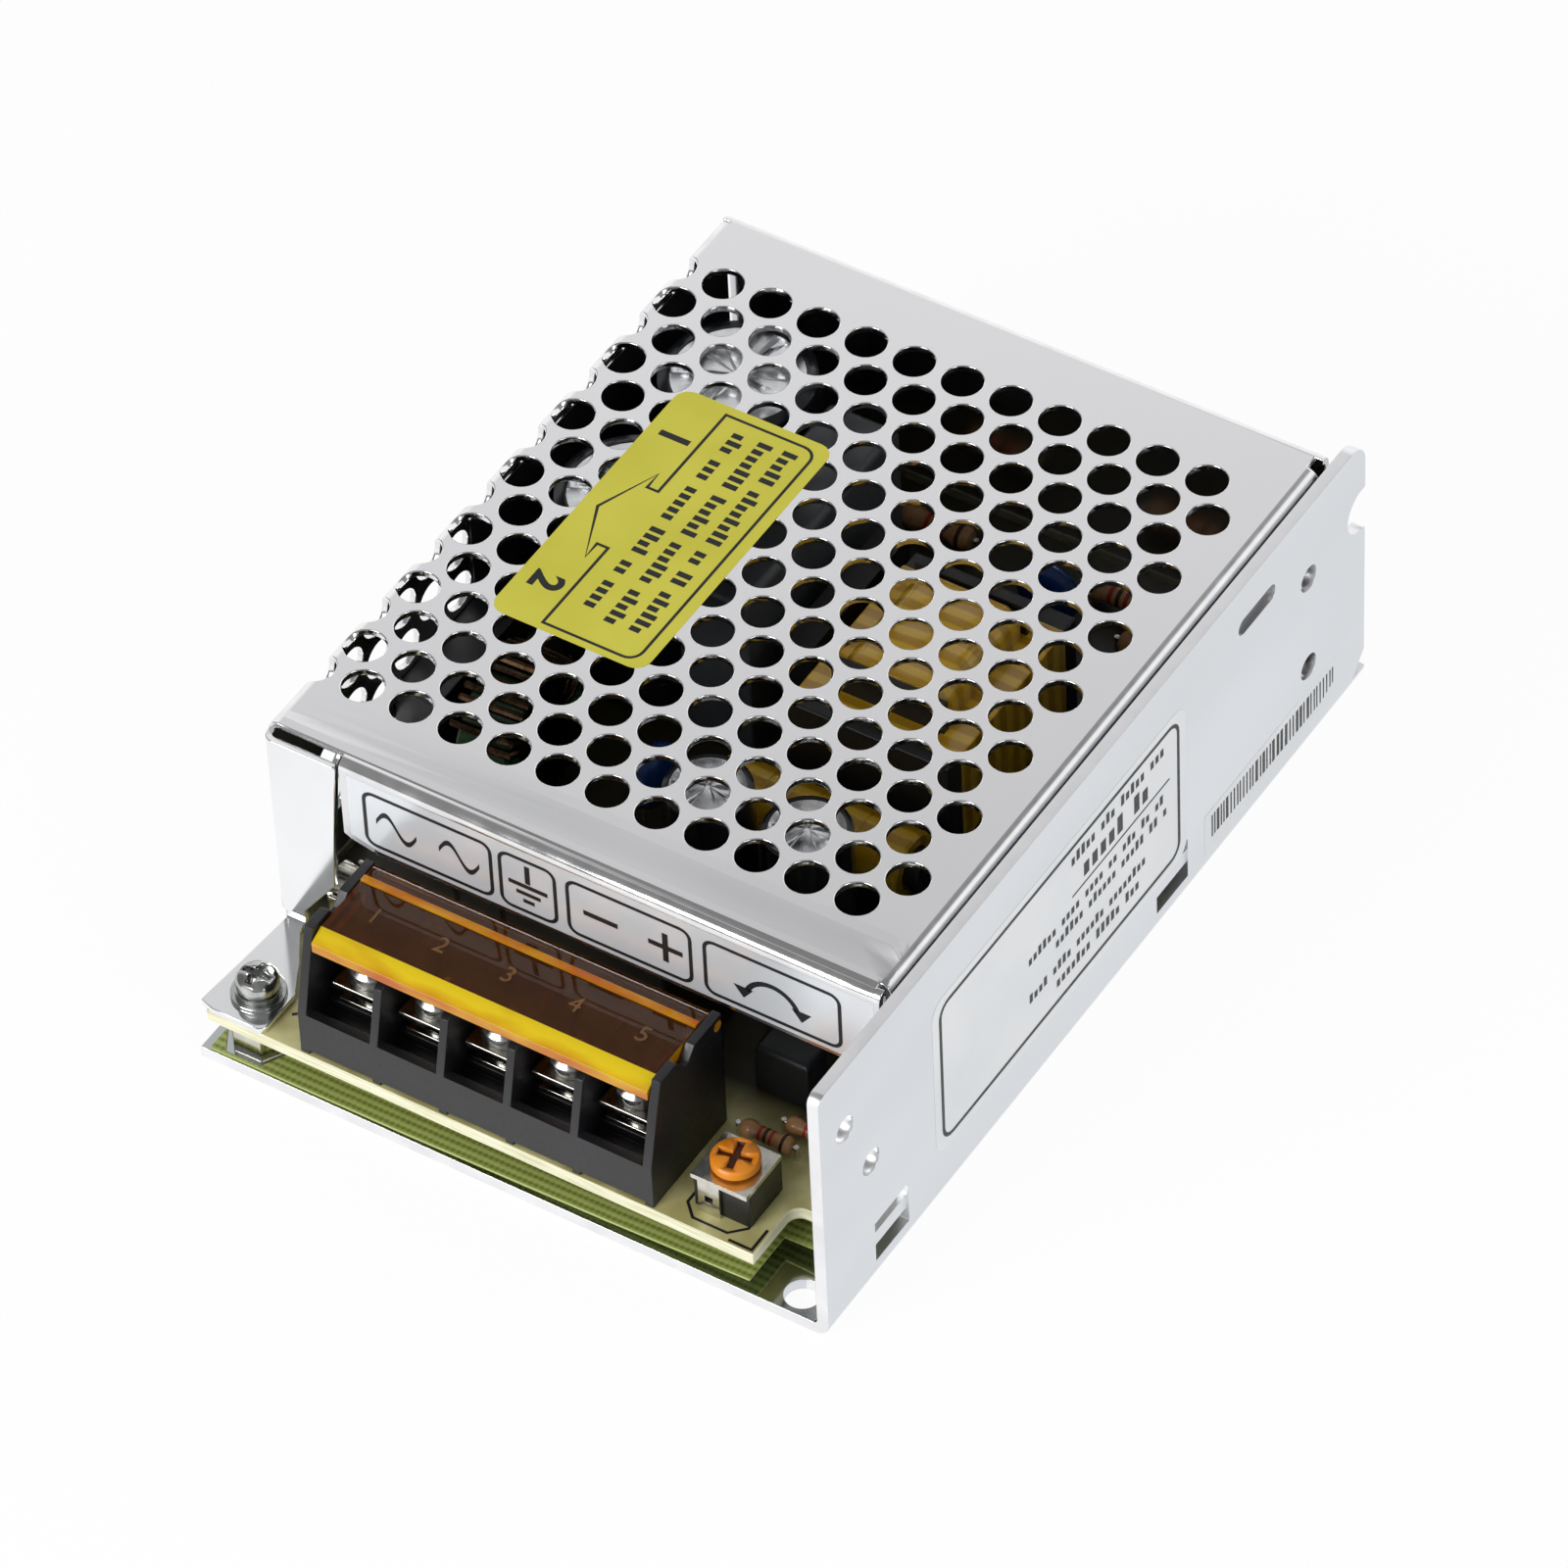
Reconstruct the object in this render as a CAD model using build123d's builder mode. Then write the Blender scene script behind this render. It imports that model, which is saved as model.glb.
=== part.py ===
"""Mesh case switching power supply: folded case, board, terminals and the parts on the board.

Millimetres, +Z up. X runs to the solid side wall, Y runs away from the terminals.
The origin is under the middle of the base.
"""
import os
from math import cos, pi

from build123d import *

os.makedirs("parts", exist_ok=True)


def block(x_low, x_high, y_low, y_high, z_low, z_high, mode=Mode.ADD):
    """A box given by its low and high faces."""
    with Locations(((x_low + x_high) / 2, (y_low + y_high) / 2, (z_low + z_high) / 2)):
        Box(x_high - x_low, y_high - y_low, z_high - z_low, mode=mode)


def level(z):
    """A flat drawing plane at height z, drawn in X and Y."""
    return Plane.XY.offset(z)


def side(x):
    """A drawing plane facing +X, drawn in Y and Z."""
    return Plane.YZ.offset(x)


def front(y):
    """A drawing plane facing -Y, drawn in X and Z."""
    return Plane.XZ.offset(-y)


def sign(value):
    """1, 0 or -1."""
    return (value > 1e-6) - (value < -1e-6)


def outline(plane, points):
    """A closed straight-sided outline."""
    with BuildSketch(plane) as flat:
        with BuildLine():
            Polyline(*points, close=True)
        make_face()
    return flat.sketch


def facets(plane, u, v, radius, mode, sides):
    """A many-sided outline that stands for a round one: a hole holds the whole circle, a bar lies inside it."""
    corner_radius = radius / cos(pi / sides) if mode == Mode.SUBTRACT else radius
    with BuildSketch(plane) as flat:
        with Locations((u, v)):
            RegularPolygon(corner_radius, sides, rotation=180 / sides)
    return flat.sketch


def upright(x, y, radius, z_low, z_high, mode=Mode.ADD, sides=12):
    """A bar or hole standing along Z."""
    extrude(facets(level(z_low), x, y, radius, mode, sides), amount=z_high - z_low, mode=mode)


def across(y, z, radius, x_low, x_high, mode=Mode.ADD, sides=12):
    """A bar or hole lying along X."""
    extrude(facets(side(x_low), y, z, radius, mode, sides), amount=x_high - x_low, mode=mode)


def lengthwise(x, z, radius, y_low, y_high, mode=Mode.ADD, sides=12):
    """A bar or hole lying along Y."""
    extrude(facets(front(y_high), x, z, radius, mode, sides), amount=y_high - y_low, mode=mode)


def rounded_slot(plane, u_low, u_high, v_low, v_high):
    """A slot with half-round ends, longer along u."""
    with BuildSketch(plane) as flat:
        with Locations(((u_low + u_high) / 2, (v_low + v_high) / 2)):
            SlotOverall(u_high - u_low, v_high - v_low)
    return flat.sketch


def round_hole_up(x, y, radius, z_low, z_high):
    """A true round hole along Z."""
    with Locations((x, y, (z_low + z_high) / 2)):
        Cylinder(radius, z_high - z_low, mode=Mode.SUBTRACT)


def round_hole_across(y, z, radius, x_low, x_high):
    """A true round hole along X."""
    with Locations(((x_low + x_high) / 2, y, z)):
        Cylinder(radius, x_high - x_low, rotation=(0, 90, 0), mode=Mode.SUBTRACT)


def folded(plane, points, radius, thickness):
    """The edge-on section of a sheet folded square along its middle line, with rounded bends."""
    half = thickness / 2
    last = len(points) - 2
    with BuildSketch(plane) as section:
        for index in range(last + 1):
            (start_u, start_v), (end_u, end_v) = points[index], points[index + 1]
            length = abs(end_u - start_u) + abs(end_v - start_v)
            along_u, along_v = (end_u - start_u) / length, (end_v - start_v) / length
            before = half if index > 0 else 0
            after = half if index < last else 0
            middle_shift = (after - before) / 2
            with Locations(((start_u + end_u) / 2 + along_u * middle_shift,
                            (start_v + end_v) / 2 + along_v * middle_shift)):
                long_side = length + before + after
                Rectangle(abs(along_u) * long_side + abs(along_v) * thickness,
                          abs(along_v) * long_side + abs(along_u) * thickness)
        for previous, corner, following in zip(points, points[1:], points[2:]):
            turn = [0, 0]
            for axis in (0, 1):
                turn[axis] = sign(following[axis] - corner[axis]) - sign(corner[axis] - previous[axis])
            for direction, bend_radius in ((1, radius - half), (-1, radius + half)):
                place = (corner[0] + direction * half * turn[0], corner[1] + direction * half * turn[1], 0)
                fillet(section.vertices().sort_by_distance(place)[0], bend_radius)
    return section.sketch


def finish(piece, name):
    """Names the piece after its file and writes it."""
    piece.part.label = name
    export_step(piece.part, f"parts/{name}.step")


# Case: base and side wall in one folded aluminium sheet
case_width = 78.0
case_length = 110.0
case_height = 36.0
left = -case_width / 2
right = case_width / 2
near = -case_length / 2
far = case_length / 2
base_sheet = 1.5
base_bend = 2.0
base_bend_inside = 0.5
wall_inside = right - base_sheet
wall_top_far_round = 3.0
wall_top_near_round = 1.2
wall_low_far_cut = 2.5
wall_hole_radius = 1.6
wall_hole_near_inset = 4.6
wall_hole_near_height = 27.5
wall_hole_low_inset = 9.2
wall_hole_low_height = 18.3
wall_hole_far_inset = 12.0
wall_hole_far_low = 12.1
wall_hole_far_high = 25.4
hook_notch_radius = 2.85
hook_notch_height = 26.15
hook_notch_depth = 3.7
hook_tip_round = 0.7
lance_slot = 1.9
lance_low = 4.7
lance_tongue = 1.9
lance_length = 6.5
lance_push = 0.35
lance_near_start = 9.4
lance_mid_start = 66.0
wall_slot_start = 83.3
wall_slot_length = 7.7
wall_slot_low = 29.0
wall_slot_high = 31.2
base_hole_radius = 2.0
base_hole_side_inset = 4.9
base_hole_near_inset = 2.7

# Board, its standoffs and the insulating sheet under it
standoff_height = 4.5
board_thickness = 1.6
board_low = base_sheet + standoff_height
board_top = board_low + board_thickness
board_side_gap = 1.0
board_left = left + 1.1
board_right = wall_inside - board_side_gap
board_near = near + 0.2
board_far = far - 5.0
board_notch_width = 6.6
board_notch_length = 8.0
board_notch_round = 1.5
standoff_flats = 6.0
tab_screw_x = left + 5.0
tab_screw_y = near + 4.4
screw_shank = 1.5
screw_hole_gap = 0.05
screw_pass_gap = 0.2
board_screw_head = 2.7
board_screw_head_height = 1.8
board_screw_length = 3.4
board_screw_inset = 4.2
insulator_thickness = 0.3
insulator_rise = 2.0
insulator_steps = 6
insulator_standoff_gap = 0.8

# Cover: perforated top, left wall, right lip, rear flange, terminal fascia and screw flap
cover_sheet = 0.8
cover_bend = 1.3
cover_middle_bend = cover_bend - cover_sheet / 2
cover_wall_gap = 0.5
cover_right = wall_inside - cover_wall_gap
cover_near = near + 15.35
cover_far = far - 3.7
cover_base_gap = 0.3
cover_bottom = base_sheet + cover_base_gap
cover_lip_depth = 5.0
cover_lip_far_relief = 3.0
cover_top_set_back = 1.5
cover_far_set_back = 1.5
corner_relief = 1.5
fold_end_gap = 0.3
fascia_left = left + 9.7
fascia_depth = 11.8
fascia_bottom = case_height - fascia_depth
fascia_corner = 4.2
fascia_corner_rise = 1.2
flap_slit = 0.3
flap_top = case_height - cover_sheet - flap_slit
flap_width_top = 9.3
flap_width_middle = 7.8
flap_width_bottom = 3.6
flap_waist_height = 16.0
flap_narrow_height = 10.5
tab_gap_left = 0.2
tab_width = 8.5
tab_wide_from = 6.0
tab_middle_width = 6.4
tab_middle_from = 10.0

# Ventilation holes
hole_across = 4.8
hole_pitch = 6.06
row_step = 5.0237
row_count = 15
row_far_inset = 13.8
even_row_start = 5.9
even_row_holes = 11
odd_row_start = 2.87
odd_row_holes = 12
bend_cut_depth = 1.9
side_even_drop = 7.4
side_even_holes = 3
side_odd_drop = 4.3
side_odd_holes = 4

# Voltage selector in the left wall
selector_y = -9.04
selector_z = 18.0
selector_window_length = 12.0
selector_window_height = 5.6
selector_plain_length = 16.0
selector_plain_height = 12.0
selector_body_length = 16.6
selector_body_height = 9.0
selector_body_depth = 5.6
selector_channel_depth = 2.4
selector_slider_length = 6.6
selector_slider_side_gap = 0.2
selector_end_gap = 0.2
selector_slider_recess = 0.2
selector_slider_back_gap = 0.2
selector_groove_width = 1.2
selector_groove_depth = 0.8

# Terminal block: five bays with barriers between them
pole_count = 5
block_side_room = 33.15
pole_pitch = (board_right - board_left - block_side_room) / pole_count
block_left = left + 12.95
block_end_width = 1.25
block_width = pole_count * pole_pitch + 2 * block_end_width
block_right = block_left + block_width
block_end_wall = 1.1
barrier_width = 1.0
block_near = near + 0.4
block_depth = 14.2
block_far = block_near + block_depth
block_foot = 0.5
block_bottom = board_top + block_foot
block_lip_top = board_top + 5.9
block_lip_width = 1.2
bay_floor = board_top + 3.4
strip_seat = board_top + 4.7
strip_near = block_near + 4.3
block_rear_wall = 1.6
block_rear_top = board_top + 13.3
barrier_near_height = board_top + 12.9
barrier_top = board_top + 13.8
barrier_near_lean = 1.6
ear_top = board_top + 16.7
ear_near = 2.6
ear_far = 5.7
ear_dip = 1.9
ear_post_from = 9.1
ear_post_top = board_top + 16.3
strip_side_gap = 0.625
strip_width = pole_pitch - barrier_width - 2 * strip_side_gap
strip_thickness = 0.8
strip_end_gap = 0.3
strip_top = strip_seat + strip_thickness
terminal_screw_y = block_near + 6.7
terminal_travel = 1.9
clamp_open_gap = 2.1
clamp_bottom = strip_top + clamp_open_gap
clamp_thickness = 0.9
clamp_side_gap = 0.475
clamp_width = pole_pitch - barrier_width - 2 * clamp_side_gap
clamp_length = 6.4
terminal_head_radius = 2.75
terminal_head_height = 2.2
terminal_head_bottom = clamp_bottom + clamp_thickness
terminal_head_top = terminal_head_bottom + terminal_head_height
terminal_shank = 1.7
terminal_shank_gap = 0.06
terminal_shank_below = 1.6
terminal_slot_width = 0.9
terminal_slot_depth = 1.0

# Flip cover over the terminals
lid_side_gap = 0.15
lid_left = block_left + block_end_wall + lid_side_gap
lid_right = block_right - block_end_wall - lid_side_gap
hinge_back = 0.8
hinge_y = block_far - hinge_back
hinge_above = 1.8
hinge_z = block_rear_top + hinge_above
hinge_barrel = 1.1
hinge_pin = 0.7
hinge_pin_gap = 0.07
lid_thickness = 1.0
lid_top = hinge_z + hinge_barrel
lid_flat_near = block_near + 3.8
lid_lip_near = block_near + 1.9
lid_slope_drop = 0.9
lid_lip_bottom_gap = 0.2
lid_lip_bottom = barrier_top + lid_lip_bottom_gap
lid_lip_thickness = 1.0
lid_rim_width = 1.0
lid_rib_y = hinge_y - 1.8
lid_rib_height = 0.3
lid_rib_width = 0.8

# Output voltage trimmer
trimmer_x = board_right - 12.1
trimmer_y = board_near + 5.8
trimmer_half = 3.4
trimmer_plate_low = board_top + 4.6
trimmer_plate_thickness = 0.6
trimmer_dial_gap = 0.2
trimmer_dial_low = trimmer_plate_low + trimmer_plate_thickness + trimmer_dial_gap
trimmer_dial_height = 1.3
trimmer_dial_radius = 2.75
trimmer_shaft = 1.2
trimmer_shaft_gap = 0.06
trimmer_shaft_length = 2.0
trimmer_slot_width = 0.8
trimmer_slot_depth = 0.6
trimmer_leg_thickness = 0.4
trimmer_leg_width = 2.6

# Boxed parts between the bulk capacitors and the transformer
bulk_radius = 9.0
bulk_x = left + 12.5
film_gap = 1.1
film_left = bulk_x + bulk_radius + film_gap
film_width = 8.8
bridge_gap = 2.4
bridge_thickness = 3.6
bridge_x = film_left + film_width + bridge_gap + bridge_thickness / 2

# Transformer, filling the room up to the parts by the side wall
transformer_gap = 2.6
right_group_room = 15.5
transformer_left = bridge_x + bridge_thickness / 2 + transformer_gap
transformer_core_width = board_right - right_group_room - transformer_left
transformer_x = transformer_left + transformer_core_width / 2
transformer_y = 12.0
transformer_core_length = 26.0
transformer_core_height = 14.0
transformer_core_lift = 4.6
leg_share = 0.15
transformer_leg = leg_share * transformer_core_width
transformer_center_leg = 2 * transformer_leg
transformer_yoke = 4.0
bobbin_wall = 0.8
bobbin_core_gap = 0.1
bobbin_base_height = 3.6
bobbin_flange = 1.0
winding_height = 21.6
winding_lift = 1.2
winding_side_gap = 0.3
winding_end_gap = 0.2

# Round and boxed parts on the board
bulk_height = 24.4
bulk_far_y = 33.5
bulk_near_y = 13.0
film_near_y = 5.0
film_far_y = 36.0
film_height = 23.4
choke_x = left + 11.7
choke_y = -10.0
choke_core_inner = 4.6
choke_core_outer = 7.7
choke_core_width = 6.6
choke_wire = 1.2
choke_wire_gap = 0.02
choke_split = 3.2
choke_z = board_top + choke_core_outer + choke_wire
disc_x = film_left + 5.5
disc_y = -9.0
disc_radius = 4.0
disc_thickness = 3.4
disc_lift = 4.4
safety_disc_x = transformer_left + 10.0
safety_disc_y = far - 19.5
output_radius = 5.0
output_height = 20.0
output_y = -16.5
output_left_x = transformer_left + 0.1
output_spacing = 12.2
output_right_x = output_left_x + output_spacing
small_output_radius = 4.0
small_output_height = 16.4
small_output_x = output_left_x + 5.3
small_output_y = -28.0
rod_near_x = transformer_left - 5.0
rod_far_x = board_right - 16.5
rod_y = -6.5
rod_core_radius = 2.5
rod_winding_radius = 4.1
rod_winding_end = 1.6
rod_end_gap = 0.1
rod_z = board_top + 8.3
rod_foot_width = 2.4
bridge_near_y = 8.0
bridge_far_y = 28.0
bridge_lift = 3.0
bridge_height = 14.0
leg_size = 0.8
thermistor_x = left + 19.0
thermistor_y = near + 25.5
thermistor_radius = 5.0
thermistor_thickness = 4.2
fuse_y = near + 20.4
fuse_left = left + 4.5
fuse_length = 20.0
fuse_radius = 2.4
fuse_cap_radius = 2.6
fuse_cap_length = 5.0
fuse_lift = 3.0
fuse_clip_length = 3.4

# Power parts pressed on the side wall
device_far_y = far - 21.5
device_near_y = -12.0
device_width = 10.0
device_tab_thickness = 1.3
device_tab_low = board_top + 5.6
device_tab_height = 15.4
device_body_thickness = 3.2
device_body_height = 9.0
pad_thickness = 0.2
pad_margin = 1.4
spring_thickness = 0.6
spring_width = 6.0
spring_foot = 3.4

# Small parts: x, y of each
right_group_x = board_right - 12.0
optocoupler_places = [(right_group_x, 3.0), (right_group_x, 12.0)]
optocoupler_length = 6.4
optocoupler_width = 4.6
small_chip_height = 3.4
chip_x = board_right - 10.5
chip_y = 24.5
chip_length = 9.4
chip_width = 6.4
resistor_places = [
    (right_group_x - 9.5, far - 11.0), (right_group_x - 1.9, far - 16.5), (film_left + 8.4, far - 11.5),
    (film_left + 1.4, near + 32.5)]
resistor_length = 9.0
resistor_radius = 1.6
resistor_lift = 2.0
small_can_radius = 2.5
small_can_height = 11.0
small_can_gap = 1.0
small_can_places = [
    (output_right_x + output_radius + small_can_gap + small_can_radius, output_y - 3.3), (board_right - 6.9, 17.5),
    (right_group_x + 4.0, near + 27.5)]
indicator_x = board_right - 4.3
indicator_y = board_near + 13.2
indicator_radius = 1.5
indicator_height = 6.4
indicator_flange = 1.9
indicator_flange_height = 1.0
small_resistor_places = [(trimmer_x - 1.1, trimmer_y + 7.6), (trimmer_x + 2.8, trimmer_y + 10.3)]
small_resistor_length = 6.3
small_resistor_radius = 1.15
small_resistor_lift = 1.6
box_capacitor_left = trimmer_x - 6.6
box_capacitor_near = trimmer_y + 13.9
box_capacitor_width = 6.6
box_capacitor_length = 4.0
box_capacitor_height = 6.5

# Case base and side wall
wall_holes = [
    (near + wall_hole_near_inset, wall_hole_near_height),
    (near + wall_hole_low_inset, wall_hole_low_height),
    (far - wall_hole_far_inset, wall_hole_far_low),
    (far - wall_hole_far_inset, wall_hole_far_high),
]
with BuildPart() as chassis:
    block(left, right, near, far, 0, base_sheet)
    block(wall_inside, right, near, far, 0, case_height)
    fillet(chassis.edges().filter_by(Axis.Y).filter_by_position(Axis.X, right - 0.01, right + 0.01)
           .filter_by_position(Axis.Z, -0.01, 0.01), base_bend)
    fillet(chassis.edges().filter_by(Axis.Y).filter_by_position(Axis.X, wall_inside - 0.01, wall_inside + 0.01)
           .filter_by_position(Axis.Z, base_sheet - 0.01, base_sheet + 0.01), base_bend_inside)
    wall_corners = chassis.edges().filter_by(Axis.X).filter_by_position(Axis.Z, case_height - 0.01, case_height + 0.01)
    fillet(wall_corners.sort_by(Axis.Y)[-1], wall_top_far_round)
    fillet(wall_corners.sort_by(Axis.Y)[0], wall_top_near_round)
    low_cut = outline(side(wall_inside + base_bend_inside),
                      [(far, base_bend), (far, base_bend + wall_low_far_cut), (far - wall_low_far_cut, base_bend)])
    extrude(low_cut, amount=base_sheet, mode=Mode.SUBTRACT)
    for hole_y, hole_z in wall_holes:
        round_hole_across(hole_y, hole_z, wall_hole_radius, wall_inside - 1, right + 1)
    notch_center = far - hook_notch_depth + hook_notch_radius
    round_hole_across(notch_center, hook_notch_height, hook_notch_radius, wall_inside - 1, right + 1)
    block(wall_inside - 1, right + 1, notch_center, far + 1, hook_notch_height - hook_notch_radius,
          hook_notch_height + hook_notch_radius, Mode.SUBTRACT)
    hook_tip = (right - base_sheet / 2, far, hook_notch_height - hook_notch_radius)
    fillet(chassis.edges().filter_by(Axis.X).sort_by_distance(hook_tip)[0], hook_tip_round)
    # Two lanced tongues pushed in beside the board edge
    for start in (near + lance_near_start, near + lance_mid_start):
        block(wall_inside - 1, right + 1, start, start + lance_length, lance_low - lance_slot, lance_low, Mode.SUBTRACT)
        tongue_top = lance_low + lance_tongue
        block(wall_inside - 1, right + 1, start, start + lance_length, tongue_top, tongue_top + lance_slot,
              Mode.SUBTRACT)
        block(right - lance_push, right + 1, start, start + lance_length, lance_low, tongue_top, Mode.SUBTRACT)
        block(wall_inside - lance_push, wall_inside, start, start + lance_length, lance_low, tongue_top)
    wall_slot_near = near + wall_slot_start
    wall_slot = rounded_slot(side(wall_inside - 1), wall_slot_near, wall_slot_near + wall_slot_length, wall_slot_low,
                             wall_slot_high)
    extrude(wall_slot, amount=base_sheet + 2, mode=Mode.SUBTRACT)
    round_hole_up(right - base_hole_side_inset, near + base_hole_near_inset, base_hole_radius, -1, base_sheet + 1)
finish(chassis, "chassis")

# Perforated cover, all in one sheet
wall_middle = left + cover_sheet / 2
top_middle = case_height - cover_sheet / 2
near_middle = cover_near + cover_sheet / 2
far_middle = cover_far - cover_sheet / 2
lip_middle = cover_right - cover_sheet / 2
shell_near = cover_near + cover_top_set_back
shell_far = cover_far - cover_far_set_back
shell = folded(front(shell_far),
               [(wall_middle, cover_bottom), (wall_middle, top_middle), (lip_middle, top_middle),
                (lip_middle, case_height - cover_lip_depth)], cover_middle_bend, cover_sheet)
fascia = folded(side(fascia_left),
                [(shell_near + cover_bend, top_middle), (near_middle, top_middle), (near_middle, fascia_bottom)],
                cover_middle_bend, cover_sheet)
rear_flange = folded(side(left + fold_end_gap),
                     [(shell_far - cover_bend, top_middle), (far_middle, top_middle), (far_middle, cover_bottom)],
                     cover_middle_bend, cover_sheet)
flap = folded(level(board_top),
              [(wall_middle, shell_near + cover_bend), (wall_middle, near_middle), (left + flap_width_top, near_middle)],
              cover_middle_bend, cover_sheet)
tab_fold = folded(side(left + tab_gap_left),
                  [(near_middle, flap_narrow_height + 1), (near_middle, board_top + cover_sheet / 2),
                   (cover_near - 3, board_top + cover_sheet / 2)], cover_middle_bend, cover_sheet)
tab_left = left + tab_gap_left
tab = outline(level(board_top),
              [(tab_left, cover_near - 1), (left + flap_width_bottom, cover_near - 1),
               (left + tab_middle_width, near + tab_middle_from), (left + tab_width, near + tab_wide_from),
               (left + tab_width, near), (tab_left, near)])

hole_rows = [far - row_far_inset - row_step * row for row in range(row_count)]
top_holes = []
side_holes = []
bend_holes = []
for row, row_y in enumerate(hole_rows):
    if row % 2 == 0:
        top_holes += [(left + even_row_start + hole_pitch * column, row_y) for column in range(even_row_holes)]
        side_holes += [(row_y, case_height - side_even_drop - hole_pitch * drop) for drop in range(side_even_holes)]
        bend_holes.append(row_y)
    else:
        top_holes += [(left + odd_row_start + hole_pitch * column, row_y) for column in range(odd_row_holes)]
        side_holes += [(row_y, case_height - side_odd_drop - hole_pitch * drop) for drop in range(side_odd_holes)]
side_holes = [
    (hole_y, hole_z) for hole_y, hole_z in side_holes
    if abs(hole_y - selector_y) > selector_plain_length / 2 or abs(hole_z - selector_z) > selector_plain_height / 2
]
side_holes += [(row_y, case_height - bend_cut_depth) for row_y in bend_holes]

with BuildPart() as perforated_cover:
    extrude(shell, amount=shell_far - shell_near)
    block(cover_right - cover_bend, cover_right + 1, cover_far - cover_lip_far_relief, cover_far,
          case_height - cover_lip_depth - 1, case_height - cover_bend, Mode.SUBTRACT)
    extrude(rear_flange, amount=cover_right - left - 2 * fold_end_gap)
    # The flap tapers towards its tab, clear of the fascia beside it
    extrude(flap, amount=flap_top - board_top)
    flap_waste = outline(front(shell_near), [
        (left + flap_width_top, case_height - cover_sheet - flap_slit / 2), (fascia_left + 1, case_height - 2),
        (fascia_left + 1, board_top - 1), (left + flap_width_bottom, board_top - 1),
        (left + flap_width_bottom, flap_narrow_height), (left + flap_width_middle, flap_waist_height)])
    extrude(flap_waste, amount=shell_near - cover_near + 1, mode=Mode.SUBTRACT)
    extrude(fascia, amount=cover_right - fold_end_gap - fascia_left)
    fascia_waste = outline(front(shell_near), [
        (fascia_left - 1, fascia_bottom - 1), (fascia_left + fascia_corner, fascia_bottom - 1),
        (fascia_left + fascia_corner, fascia_bottom), (fascia_left - 1, fascia_bottom + fascia_corner_rise)])
    extrude(fascia_waste, amount=shell_near - cover_near + 1, mode=Mode.SUBTRACT)
    extrude(tab_fold, amount=flap_width_bottom - tab_gap_left)
    extrude(tab, amount=cover_sheet)
    block(cover_right - corner_relief, cover_right + 1, cover_near - 1, shell_near,
          case_height - corner_relief, case_height + 1, Mode.SUBTRACT)
    block(left - 1, left + corner_relief, shell_far, cover_far + 1,
          case_height - corner_relief, case_height + 1, Mode.SUBTRACT)
    upright(tab_screw_x, tab_screw_y, screw_shank + screw_pass_gap, board_top - 1, board_top + 2, Mode.SUBTRACT)
    with BuildSketch(level(case_height + 1)):
        with Locations(*top_holes):
            RegularPolygon(hole_across / 2, 8, rotation=22.5)
    extrude(amount=-1 - bend_cut_depth, mode=Mode.SUBTRACT)
    with BuildSketch(level(case_height + 1)):
        with Locations(*[(left, row_y) for row_y in bend_holes]):
            RegularPolygon(hole_across / 2, 8, rotation=22.5)
    extrude(amount=-1 - cover_bend, mode=Mode.SUBTRACT)
    with BuildSketch(side(left - 1)):
        with Locations(*side_holes):
            RegularPolygon(hole_across / 2, 8, rotation=22.5)
    extrude(amount=1 + cover_bend, mode=Mode.SUBTRACT)
    block(left - 1, left + cover_bend, selector_y - selector_window_length / 2,
          selector_y + selector_window_length / 2, selector_z - selector_window_height / 2,
          selector_z + selector_window_height / 2, Mode.SUBTRACT)
finish(perforated_cover, "perforated_cover")

# Standoffs, board and insulating sheet
board_screw_places = [
    (board_left + board_screw_inset, board_far - board_screw_inset),
    (board_right - board_screw_inset, board_far - board_screw_inset),
    (board_right - board_screw_inset, near + 22.0),
]
standoff_places = [(tab_screw_x, tab_screw_y)] + board_screw_places
with BuildPart() as board_standoffs:
    with BuildSketch(level(base_sheet)):
        with Locations(*standoff_places):
            RegularPolygon(standoff_flats / 2, 6, major_radius=False)
    extrude(amount=standoff_height)
    for place_x, place_y in standoff_places:
        upright(place_x, place_y, screw_shank + screw_hole_gap, board_top - board_screw_length - 0.2, board_low + 1,
                Mode.SUBTRACT, sides=8)
finish(board_standoffs, "board_standoffs")

with BuildPart() as circuit_board:
    block(board_left, board_right, board_near, board_far, board_low, board_top)
    block(board_right - board_notch_width, board_right + 1, board_near - 1, board_near + board_notch_length,
          board_low - 1, board_top + 1, Mode.SUBTRACT)
    notch_corner = circuit_board.edges().filter_by(Axis.Z).sort_by_distance(
        (board_right - board_notch_width, board_near + board_notch_length, board_top))[0]
    fillet(notch_corner, board_notch_round)
    for place_x, place_y in standoff_places:
        upright(place_x, place_y, screw_shank + screw_pass_gap, board_low - 1, board_top + 1, Mode.SUBTRACT, sides=8)
finish(circuit_board, "circuit_board")

with BuildPart() as insulating_sheet:
    bow = [((board_left + (board_right - board_left) * step / insulator_steps),
            base_sheet + insulator_rise * (step / insulator_steps) ** 2) for step in range(insulator_steps + 1)]
    bow_section = outline(front(board_far), bow + [(x, z + insulator_thickness) for x, z in reversed(bow)])
    extrude(bow_section, amount=board_far - board_near)
    block(board_right - board_notch_width - 0.6, board_right + 1, board_near - 1,
          board_near + board_notch_length - 1.2, base_sheet - 1, board_low, Mode.SUBTRACT)
    with BuildSketch(level(base_sheet - 1)):
        with Locations(*standoff_places):
            RegularPolygon(standoff_flats / 2 + insulator_standoff_gap, 6, major_radius=False)
    extrude(amount=standoff_height, mode=Mode.SUBTRACT)
finish(insulating_sheet, "insulating_sheet")

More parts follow.
